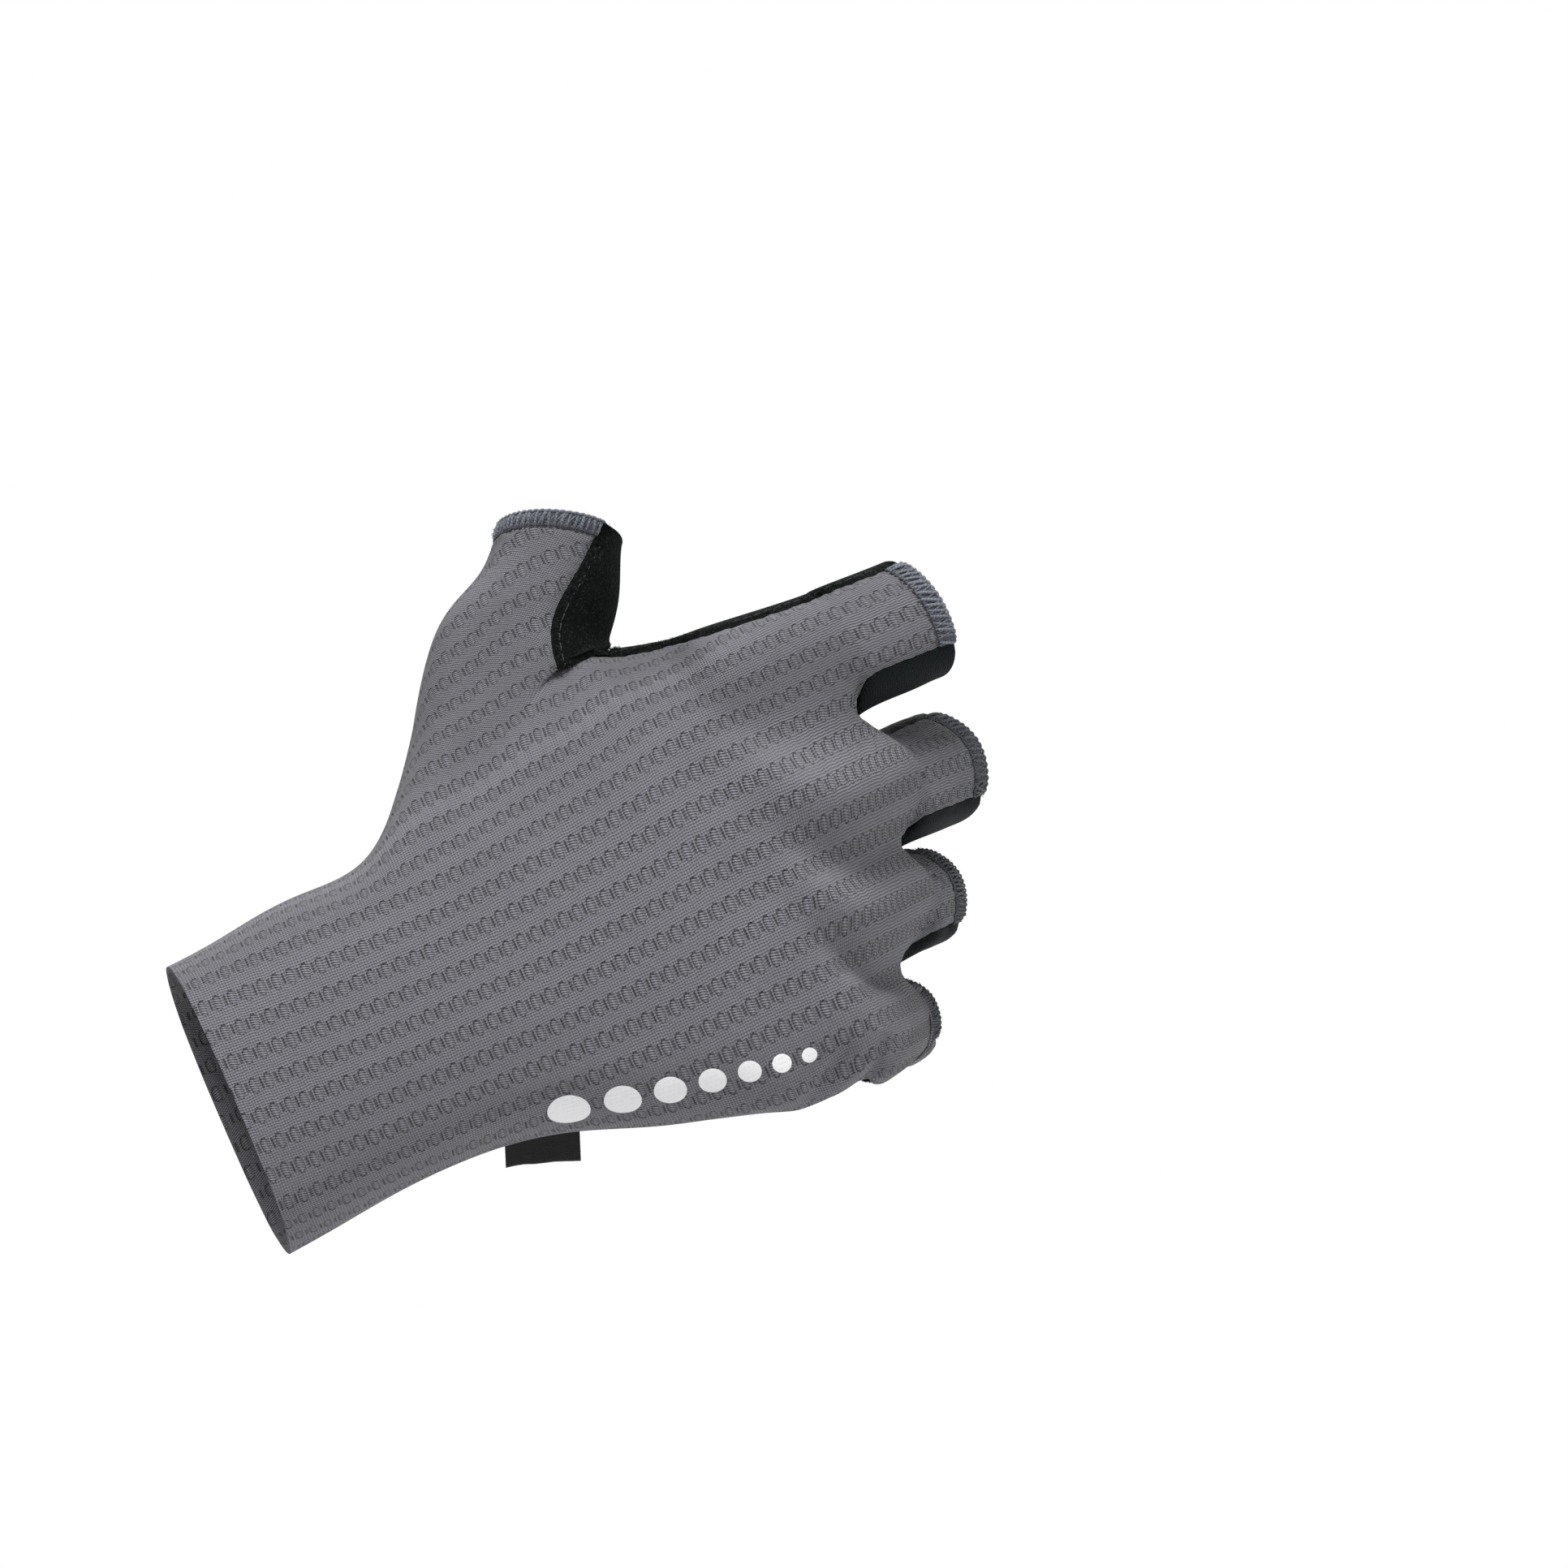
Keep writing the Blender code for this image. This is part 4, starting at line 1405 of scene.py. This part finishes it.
class Line:
    """A line on the skin that can be read at any distance along it: places and ways out."""

    def __init__(self, cloth, points):
        self.places = cloth.points[points]
        self.ways = cloth.ways[points]
        steps = np.linalg.norm(np.diff(self.places, axis=0), axis=1)
        self.run = np.concatenate([[0], np.cumsum(steps)])
        self.length = self.run[-1]

    def at(self, distance):
        place, way = (
            np.array([np.interp(distance, self.run, found[:, k]) for k in range(3)])
            for found in (self.places, self.ways)
        )
        return place, unit(way)

    def share(self, share):
        return self.at(share * self.length)

    def where_x(self, x):
        """Every place where the line passes this X."""
        xs = self.places[:, 0]
        for i in range(len(xs) - 1):
            if min(xs[i], xs[i + 1]) <= x <= max(xs[i], xs[i + 1]) and xs[i] != xs[i + 1]:
                share = (x - xs[i]) / (xs[i + 1] - xs[i])
                yield self.at(self.run[i] + (self.run[i + 1] - self.run[i]) * share)


def hem_lines(cloth, name):
    """A hem's inner line, where the knit ends, and its free rim, both read the same way."""
    inner = max(seam_between(cloth, "back_panel", name), key=len)
    rim = max(open_rim(cloth, name), key=len)
    start, near, far = cloth.points[[inner[0], rim[0], rim[-1]]]
    if np.linalg.norm(start - near) > np.linalg.norm(start - far):
        rim = rim[::-1]
    return Line(cloth, inner), Line(cloth, rim)


def overlock_loop(start, end, sizes, thick, lift, rng):
    """One thread over the edge: from the seam, over the band, round the rim and a little way back."""
    (a, n0), (b, n1) = start, end
    out = unit(b - a)
    wall = sizes.hem_wall
    high = lift + sizes.thread * rng.uniform(0.25, 0.95) * thick
    path = [
        a - out * 0.10 * MM + n0 * (lift - 0.15 * MM),
        a + out * 0.35 * MM + n0 * high,
        a + (b - a) * rng.uniform(0.35, 0.55) + unit(n0 + n1) * (high + rng.uniform(0.02, 0.20) * MM),
        b - out * 0.40 * MM + n1 * (high + 0.06 * MM),
        b + out * 0.16 * MM + n1 * (high - 0.30 * MM),
        b + out * rng.uniform(0.20, 0.38) * MM - n1 * (wall * 0.5 - lift),
        b + out * 0.05 * MM - n1 * (wall - lift + 0.10 * MM),
        b - out * 0.8 * MM - n1 * (wall - lift + 0.14 * MM),
    ]
    return smooth_path(path, 3), sizes.thread * thick * np.array(LOOP_SWELL)


def needle_stitch(inner, rim, i, count):
    """One stitch of the needle's line, on the knit beside the band."""
    start, n = inner.share((i + 0.22) / count)
    end, m = inner.share((i + 0.80) / count)
    inward = unit(inner.share((i + 0.5) / count)[0] - rim.share((i + 0.5) / count)[0])
    middle = (start + end) / 2 + inward * 0.62 * MM
    path = [
        start - n * 0.25 * MM + inward * 0.05 * MM,
        start + n * 0.22 * MM + inward * 0.25 * MM,
        middle + unit(n + m) * 0.26 * MM,
        end + m * 0.22 * MM + inward * 0.25 * MM,
        end - m * 0.25 * MM + inward * 0.05 * MM,
    ]
    return smooth_path(path, 2)


def rim_chain(inner, rim, steps, lift):
    """The chain of thread that lies along the rim."""
    chain = []
    for i in range(steps + 1):
        b, n = rim.share(i / steps)
        out = unit(b - inner.share(i / steps)[0])
        wave = math.sin(i * math.pi / 2)
        chain.append(b + out * (0.24 + 0.10 * wave) * MM + n * (lift + (0.02 + 0.10 * wave) * MM))
    return smooth_path(chain, 1)


def overlock(cloth, name, sizes, rng, fine):
    """The threads of one hem: loops over the edge, the needle stitches, and the chain on the rim."""
    inner, rim = hem_lines(cloth, name)
    count = max(int(rim.length / sizes.loop_pitch / fine), 6)
    lift = (sizes.hem_wall - sizes.knit_wall) / 2
    loops, needle = [], []
    for i in range(count):
        for start, slant, thick in LOOP_THREADS:
            share = (i + start + rng.uniform(-0.16, 0.16)) / count
            far = share + (slant + rng.uniform(-0.3, 0.3)) / count
            thick *= rng.uniform(0.85, 1.20) * fine
            loops.append(overlock_loop(inner.share(share), rim.share(far), sizes, thick, lift, rng))
        needle.append(needle_stitch(inner, rim, i, count))
    return loops, needle, [rim_chain(inner, rim, count * 4, lift)]


def smooth_path(points, times):
    """Chaikin's corner cutting, with the ends kept."""
    points = np.asarray(points, float)
    for _ in range(times):
        first = points[:-1] * 0.75 + points[1:] * 0.25
        second = points[:-1] * 0.25 + points[1:] * 0.75
        middle = np.stack([first, second], axis=1).reshape(-1, 3)
        points = np.concatenate([points[:1], middle, points[-1:]])
    if len(points) > 14 and times > 1:
        points = points[np.linspace(0, len(points) - 1, 13).round().astype(int)]
    return points


class GLOVE_OT_back(bpy.types.Operator):
    """Makes the grey knit back and cuff"""

    bl_idname = "glove.back"
    bl_label = "Knit back"

    def execute(self, context):
        sizes = context.scene.glove_sizes
        finish = once("grey_knit", knit_finish)
        piece = panel_piece("back_panel", sizes.knit_wall, 0.0, finish, sizes.skin_level)
        keep(piece, "knit", "back_panel")
        return {"FINISHED"}


class GLOVE_OT_suede(bpy.types.Operator):
    """Makes the suede palm and the patch between thumb and index finger"""

    bl_idname = "glove.suede"
    bl_label = "Suede palm and patch"

    def execute(self, context):
        sizes = context.scene.glove_sizes
        finish = once("black_suede", suede_finish)
        palm = panel_piece("palm_panel", sizes.suede_wall, 0.0, finish, FINEST)
        patch = panel_piece("crotch_patch", sizes.suede_wall, 0.35 * MM, finish, FINEST)
        keep(palm, "suede", "palm_panel")
        keep(patch, "suede", "crotch_patch")
        self.stitches(context, palm, patch)
        self.loose_hairs(context, palm, patch)
        return {"FINISHED"}

    def stitches(self, context, palm, patch):
        """A faint stitch line inside the patch's edge, and one along the palm's edges."""
        cloth = cloth_at(FINEST)
        thread = thread_finish("faint_thread", context.scene.glove_colours.thread, 0.17)
        paths = []
        for piece, other in ((patch, "crotch_patch"), (palm, "palm_panel")):
            surface = Surface(piece)
            for points in seam_between(cloth, "back_panel", other):
                line = Line(cloth, points)
                if line.length > 8 * MM:
                    inset = STITCH_INSET * inward_sign(cloth, line, other)
                    paths += stitch_row(surface, line, inset, other)
        keep(tubes_object("suede_stitches", paths, 0.11 * MM, thread), "suede")

    def loose_hairs(self, context, palm, patch):
        """The nap that stands up along the suede's edges."""
        cloth = cloth_at(FINEST)
        rng = np.random.default_rng(5)
        paths = []
        for name, piece in (("crotch_patch", patch), ("palm_panel", palm)):
            points = np.unique(cloth.of_panel(name))
            points = points[cloth.seam_reach[points] < NAP_REACH]
            if name == "palm_panel":
                x, y, _ = (cloth.points[points] / MM).T
                points = points[(y < 12) & (x > 70)]
            chosen = rng.choice(points, NAP_HAIRS[name])
            spots = scattered(cloth, chosen, 0.4 * MM, rng)
            paths += fibres(Surface(piece), spots, rng, 0.12 * MM, 0.45 * MM, 0.6)
        finish = once("black_suede", suede_finish)
        keep(tubes_object("suede_nap", paths, context.scene.glove_sizes.fibre, finish, 3), "suede")


class GLOVE_OT_sides(bpy.types.Operator):
    """Makes the smooth black cloths between the fingers"""

    bl_idname = "glove.sides"
    bl_label = "Side cloths"

    def execute(self, context):
        sizes = context.scene.glove_sizes
        finish = once("side_cloth_black", side_finish)
        for name in SIDES:
            keep(panel_piece(name, sizes.side_wall, 0.0, finish, FINE), "side_cloth", name)
        return {"FINISHED"}


class GLOVE_OT_hems(bpy.types.Operator):
    """Makes the overlocked ends of the fingers and the thumb"""

    bl_idname = "glove.hems"
    bl_label = "Overlocked hems"

    def execute(self, context):
        sizes, colours = context.scene.glove_sizes, context.scene.glove_colours
        base = once("hem_base", hem_base_finish)
        blue = thread_finish("overlock_thread", colours.thread)
        grey = thread_finish("finger_overlock_thread", colours.finger_thread)
        dark = thread_finish("needle_thread", colours.thread, 0.22)
        cloth = cloth_at(FINEST)
        rng = np.random.default_rng(11)
        for name in HEMS:
            proud = (sizes.hem_wall - sizes.knit_wall) / 2
            band = panel_piece(name, sizes.hem_wall, proud, base, FINEST, CLOSED_GAP)
            keep(band, "hem_thread", name)
            fine = FINE_THREAD if name in FINE_HEMS else 1.0
            loops, needle, chain = overlock(cloth, name, sizes, rng, fine)
            short = name.replace("_hem", "")
            thread = blue if name in BLUE_HEMS else grey
            fuzz = self.fuzz(cloth, name, band, rng)
            for kind, paths, radius, finish, corners in (
                ("_overlock", loops, sizes.thread, thread, 6),
                ("_needle_line", needle, sizes.thread * 0.62 * fine, dark, 6),
                ("_rim_chain", chain, sizes.thread * 0.95 * fine, thread, 6),
                ("_fuzz", fuzz, sizes.fibre * 0.7, thread, 3),
            ):
                keep(tubes_object(short + kind, paths, radius, finish, corners), "hem_thread")
        return {"FINISHED"}

    def fuzz(self, cloth, name, band, rng):
        """The fine hairs that stand off the yarn."""
        chosen = rng.choice(np.unique(cloth.of_panel(name)), FUZZ_HAIRS)
        spots = scattered(cloth, chosen, 0.35 * MM, rng)
        return fibres(Surface(band), spots, rng, 0.40 * MM, 0.80 * MM, 0.9)


def inward_sign(cloth, line, name):
    """Which side of a seam line this panel lies on."""
    here, way = line.share(0.5)
    ahead, _ = line.at(line.length * 0.5 + 0.3 * MM)
    beside = unit(np.cross(way, ahead - here))
    off = cloth.points[cloth.of_panel(name)].mean(axis=1) - here
    close = np.linalg.norm(off, axis=1).argsort()[:12]
    return 1.0 if (off[close] @ beside).mean() > 0 else -1.0


def stitch_row(surface, line, inset, name):
    """Sewing stitches on a piece, beside a seam: the path of each one."""
    paths = []
    step = STITCH_LENGTH + STITCH_GAP
    for i in range(int(line.length / step)):
        path = []
        middle, _ = line.at((i + 0.5) * step)
        if middle[0] > 84 * MM and middle[1] < 2 * MM and name == "palm_panel":
            continue  # no stitches show on the narrow edge along the index finger
        for share, rise in ((0.0, -0.12), (0.18, 0.05), (0.5, 0.10), (0.82, 0.05), (1.0, -0.12)):
            distance = (i + 0.5) * step + (share - 0.5) * STITCH_LENGTH
            here, way = line.at(distance)
            ahead, _ = line.at(distance + 0.2 * MM)
            behind, _ = line.at(distance - 0.2 * MM)
            beside = unit(np.cross(way, ahead - behind))
            spot, out = surface.near(here + beside * inset, way)
            path.append(spot + out * rise * MM)
        paths.append(smooth_path(path, 1))
    return paths


def scattered(cloth, points, spread, rng):
    """Spots close to these points of the cloth, with the way out at each."""
    return [(cloth.points[i] + rng.normal(0, spread, 3), cloth.ways[i]) for i in points]


def fibres(surface, spots, rng, low, high, spread):
    """Short loose hairs that stand on a piece at these spots."""
    paths = []
    reach = np.linspace(0, 1, 4)[:, None]
    for spot, way in spots:
        here, out = surface.near(spot, way)
        lean = unit(out + rng.normal(0, spread, 3))
        bend = rng.normal(0, 0.35, 3)
        length = rng.uniform(low, high)
        paths.append(here - out * 0.05 * MM + lean * reach * length + bend * reach**2 * length * 0.6)
    return paths


def tape_fold(root, away, straight, fold, off, sway):
    """One face of one half of the tape, from its root down to its fold: a row of points. off is how far
    it lies from the middle of the tape, and sway how far the lower end hangs aside."""
    level = np.array([0.0, 1.0, 0.0])
    points = []
    for j in range(7):
        points.append(root + away * straight * j / 6 + level * (off + sway * (j / 6) ** 2))
    for t in (math.pi / 8, math.pi / 4, math.pi * 3 / 8):
        points.append(root + away * (straight + math.sin(t) * fold) + level * (off * math.cos(t) + sway))
    return points, root + away * (straight + fold) + level * sway


def tab_piece(finish):
    """The blank tape, folded over at its lower end and caught in the seam of the hand's side."""
    cloth = cloth_at(FINE)
    seams = [Line(cloth, points) for points in seam_between(cloth, "back_panel", "palm_panel")]
    away = unit(np.array([-0.40, 0.25, -1.0]))
    layer, slit = TAB_THICKNESS * 0.44, TAB_THICKNESS * 0.06
    faces, flat, sections = [], [], []
    for k in range(TAB_STEPS + 1):
        share = k / TAB_STEPS
        x = TAB_START + TAB_LENGTH * share
        found = (spot for seam in seams for spot in seam.where_x(x))
        place, way = min(found, key=lambda spot: spot[0][2])
        root = place + way * (TAB_GAP + TAB_THICKNESS / 2)
        reach = TAB_SHORT_END + (TAB_LONG_END - TAB_SHORT_END) * share
        sway = 0.16 * MM * math.sin(share * 5.0 + 0.8)
        straight, fold = reach * 0.93, reach * 0.07
        inner_fold = max(fold - layer * 0.7, 0.05 * MM)
        outer, inner = slit + layer, slit
        front_out, tip_out = tape_fold(root, away, straight, fold, -outer, sway)
        back_out, _ = tape_fold(root, away, straight, fold, outer, sway)
        front_in, tip_in = tape_fold(root, away, straight, inner_fold, -inner, sway)
        back_in, _ = tape_fold(root, away, straight, inner_fold, inner, sway)
        loop = front_out + [tip_out] + back_out[::-1] + back_in + [tip_in] + front_in[::-1]
        sections.append(np.array(loop))
    count = len(sections[0])
    for k in range(TAB_STEPS):
        x0, x1 = (TAB_LENGTH / MM * i / TAB_STEPS for i in (k, k + 1))
        for j in range(count):
            add_strip_face(faces, k * count, (k + 1) * count, j, count)
            flat.append(((x0, j * 0.8), (x0, (j + 1) * 0.8), (x1, (j + 1) * 0.8), (x1, j * 0.8)))
    for base, order in ((0, -1), (TAB_STEPS * count, 1)):
        for j in range(count // 2 - 1):
            strip = (base + j, base + j + 1, base + count - 2 - j, base + count - 1 - j)
            faces.append(strip[::order])
            flat.append(((0, 0),) * 4)
    piece = mesh_object("side_tab_tape", np.concatenate(sections), faces, finish, flat)
    turn_outward(piece)
    return piece


def turn_outward(piece):
    """Turns all faces of a closed piece outward and keeps its edges sharp."""
    bm = bmesh.new()
    bm.from_mesh(piece.data)
    bmesh.ops.recalc_face_normals(bm, faces=bm.faces[:])
    bm.to_mesh(piece.data)
    bm.free()
    piece.data.set_sharp_from_angle(angle=SHARP_ANGLE)


class Surface:
    """A finished piece that other pieces are laid on."""

    def __init__(self, piece):
        mesh = piece.data
        places = [v.co.copy() for v in mesh.vertices]
        self.tree = BVHTree.FromPolygons(places, [tuple(f.vertices) for f in mesh.polygons])

    def below(self, x, z):
        """The point of the back under this X and Z, and the way out there."""
        place, way, _, _ = self.tree.ray_cast(Vector((x, -0.2, z)), Vector((0, 1, 0)))
        way = np.array(way)
        return np.array(place), way if way[1] < 0 else -way

    def near(self, point, side):
        """The nearest point of the piece, and the way out there on this side of the cloth."""
        place, way, _, _ = self.tree.find_nearest(Vector(point))
        way = np.array(way)
        return np.array(place), way if np.dot(way, side) > 0 else -way


def dot_layer(surface, dot, lift):
    """One side of a dot's film: its middle and then its rings, as places with their spots in the dot."""
    centre, out = surface.below(dot.x * MM, dot.z * MM)
    along = unit(np.array([1.0, 0.0, 0.0]) - out * out[0])
    across = np.cross(out, along)
    layer = []
    for r in range(DOT_RINGS + 1):
        for k in range(DOT_SPOKES if r else 1):
            turn = TURN * k / DOT_SPOKES
            reach = dot.size / 2 * MM * r / DOT_RINGS
            aside, up = reach * math.cos(turn), reach * math.sin(turn)
            place, way = surface.near(centre + along * aside + across * up, out)
            thin = 0.6 if r == DOT_RINGS and lift > 0 else 1.0
            layer.append((place + way * (lift * thin), (aside / MM, up / MM)))
    return layer


def printed_dots(surface, finish):
    """A row of plain dots, each smaller than the last, as a thin film on the knit."""
    points, faces, flat = [], [], []
    around = DOT_SPOKES
    last = 1 + (DOT_RINGS - 1) * around
    for dot in PRINT_DOTS:
        layers = []
        for lift in (DOT_TOP, DOT_FOOT):
            layer = dot_layer(surface, dot, lift)
            layers.append([(len(points) + i, spot) for i, (_, spot) in enumerate(layer)])
            points += [place for place, _ in layer]
        for layer, order in zip(layers, (1, -1)):
            for k in range(0, around, 2):
                fan = (layer[0], layer[1 + k], layer[2 + k], layer[1 + (k + 2) % around])
                add_quad(faces, flat, fan[::order])
            for ring in range(1, last, around):
                near, far = layer[ring : ring + around], layer[ring + around : ring + 2 * around]
                for k in range(around):
                    n = (k + 1) % around
                    add_quad(faces, flat, (near[k], far[k], far[n], near[n])[::order])
        top, low = layers
        for k in range(around):
            n = (k + 1) % around
            add_quad(faces, flat, (top[last + k], low[last + k], low[last + n], top[last + n]))
    piece = mesh_object("printed_dots", points, faces, finish, flat)
    turn_outward(piece)
    return piece


def add_quad(faces, flat, corners):
    faces.append(tuple(c[0] for c in corners))
    flat.append(tuple(c[1] for c in corners))


class GLOVE_OT_tab(bpy.types.Operator):
    """Makes the blank folded tape at the side of the hand"""

    bl_idname = "glove.tab"
    bl_label = "Side tab"

    def execute(self, context):
        keep(tab_piece(once("black_tape", tape_finish)), "tape", "side_tab")
        return {"FINISHED"}


class GLOVE_OT_print(bpy.types.Operator):
    """Prints plain white dots on the knit near the little finger"""

    bl_idname = "glove.print"
    bl_label = "Printed dots"

    def execute(self, context):
        if context.scene.glove_stage.show_print:
            back = bpy.data.objects["back_panel_cloth"]
            keep(printed_dots(Surface(back), once("white_print", print_finish)), "knit")
        return {"FINISHED"}


class GLOVE_OT_stage(bpy.types.Operator):
    """Sets the floor, the soft lights and the camera"""

    bl_idname = "glove.stage"
    bl_label = "Stage"

    def execute(self, context):
        stage = context.scene.glove_stage
        self.floor(stage)
        self.lights()
        self.camera(stage)
        return {"FINISHED"}

    def floor(self, stage):
        g = Finish("pale_floor", 0.9)
        mottle = g.effect("mottle", Place=g.place(), Wide=0.02, Fine=0.0)
        finish = g.feed(stage.floor_colour, mottle["Shade"])
        corners = [
            (x * FLOOR_HALF, y * FLOOR_HALF, -stage.floor_drop)
            for x, y in ((-1, -1), (1, -1), (1, 1), (-1, 1))
        ]
        mesh_object("floor", corners, [(0, 1, 2, 3)], finish, smooth=False)

    def lights(self):
        scene = bpy.context.scene
        world = bpy.data.worlds.new("studio")
        world.use_nodes = True
        scene.world = world
        g = Graph(world.node_tree)
        world.node_tree.nodes.clear()
        end = g.node("ShaderNodeOutputWorld")
        mixed = g.node("ShaderNodeMixShader")
        g.put(mixed.inputs[0], g.node("ShaderNodeLightPath").outputs["Is Camera Ray"])
        for socket, strength in zip(mixed.inputs[1:], (WORLD_LIGHT, WORLD_SEEN)):
            white = g.node("ShaderNodeBackground")
            g.put(white.inputs["Color"], (1.0, 1.0, 1.0, 1.0))
            g.put(white.inputs["Strength"], strength)
            g.put(socket, white.outputs[0])
        g.put(end.inputs["Surface"], mixed.outputs[0])
        for lamp in LAMPS:
            data = bpy.data.lights.new(lamp.name, "AREA")
            data.size = lamp.size
            data.energy = lamp.power
            made = link(bpy.data.objects.new(lamp.name, data))
            made.location = lamp.place
            way = LAMP_AIM - Vector(lamp.place)
            made.rotation_euler = way.to_track_quat("-Z", "Y").to_euler()
        scene.view_settings.view_transform = "Standard"

    def camera(self, stage):
        data = bpy.data.cameras.new("camera")
        data.sensor_width = 36.0
        data.lens = data.sensor_width * stage.camera_distance / stage.picture_width
        data.clip_start, data.clip_end = 0.05, 30.0
        camera = link(bpy.data.objects.new("camera", data))
        c, s = math.cos(stage.roll), math.sin(stage.roll)
        x, z = PICTURE_MIDDLE
        camera.matrix_world = Matrix(
            (
                (c, s, 0.0, x),
                (0.0, 0.0, -1.0, -stage.camera_distance),
                (-s, c, 0.0, z),
                (0.0, 0.0, 0.0, 1.0),
            )
        )
        bpy.context.scene.camera = camera


class GLOVE_PT_panel(bpy.types.Panel):
    """Lists the glove's sizes, colours and pieces"""

    bl_label = "Cycling glove"
    bl_idname = "GLOVE_PT_panel"
    bl_space_type = "VIEW_3D"
    bl_region_type = "UI"
    bl_category = "Glove"

    def draw(self, context):
        layout = self.layout
        scene = context.scene
        for group in (scene.glove_sizes, scene.glove_colours, scene.glove_stage):
            box = layout.box()
            for name in group.__annotations__:
                box.prop(group, name)
        for operator in OPERATORS:
            layout.operator(operator.bl_idname)


OPERATORS = (
    GLOVE_OT_back,
    GLOVE_OT_suede,
    GLOVE_OT_sides,
    GLOVE_OT_hems,
    GLOVE_OT_tab,
    GLOVE_OT_print,
    GLOVE_OT_stage,
)
GROUPS = (GloveSizes, GloveColours, GloveStage)


def register():
    for made in (*GROUPS, *OPERATORS, GLOVE_PT_panel):
        bpy.utils.register_class(made)
    bpy.types.Scene.glove_sizes = PointerProperty(type=GloveSizes)
    bpy.types.Scene.glove_colours = PointerProperty(type=GloveColours)
    bpy.types.Scene.glove_stage = PointerProperty(type=GloveStage)


def unregister():
    del bpy.types.Scene.glove_stage
    del bpy.types.Scene.glove_colours
    del bpy.types.Scene.glove_sizes
    for made in reversed((*GROUPS, *OPERATORS, GLOVE_PT_panel)):
        bpy.utils.unregister_class(made)


def main():
    register()
    bpy.ops.glove.back()
    bpy.ops.glove.suede()
    bpy.ops.glove.sides()
    bpy.ops.glove.hems()
    bpy.ops.glove.tab()
    bpy.ops.glove.print()
    bpy.ops.glove.stage()
    bpy.context.view_layer.update()


if __name__ == "__main__":
    main()
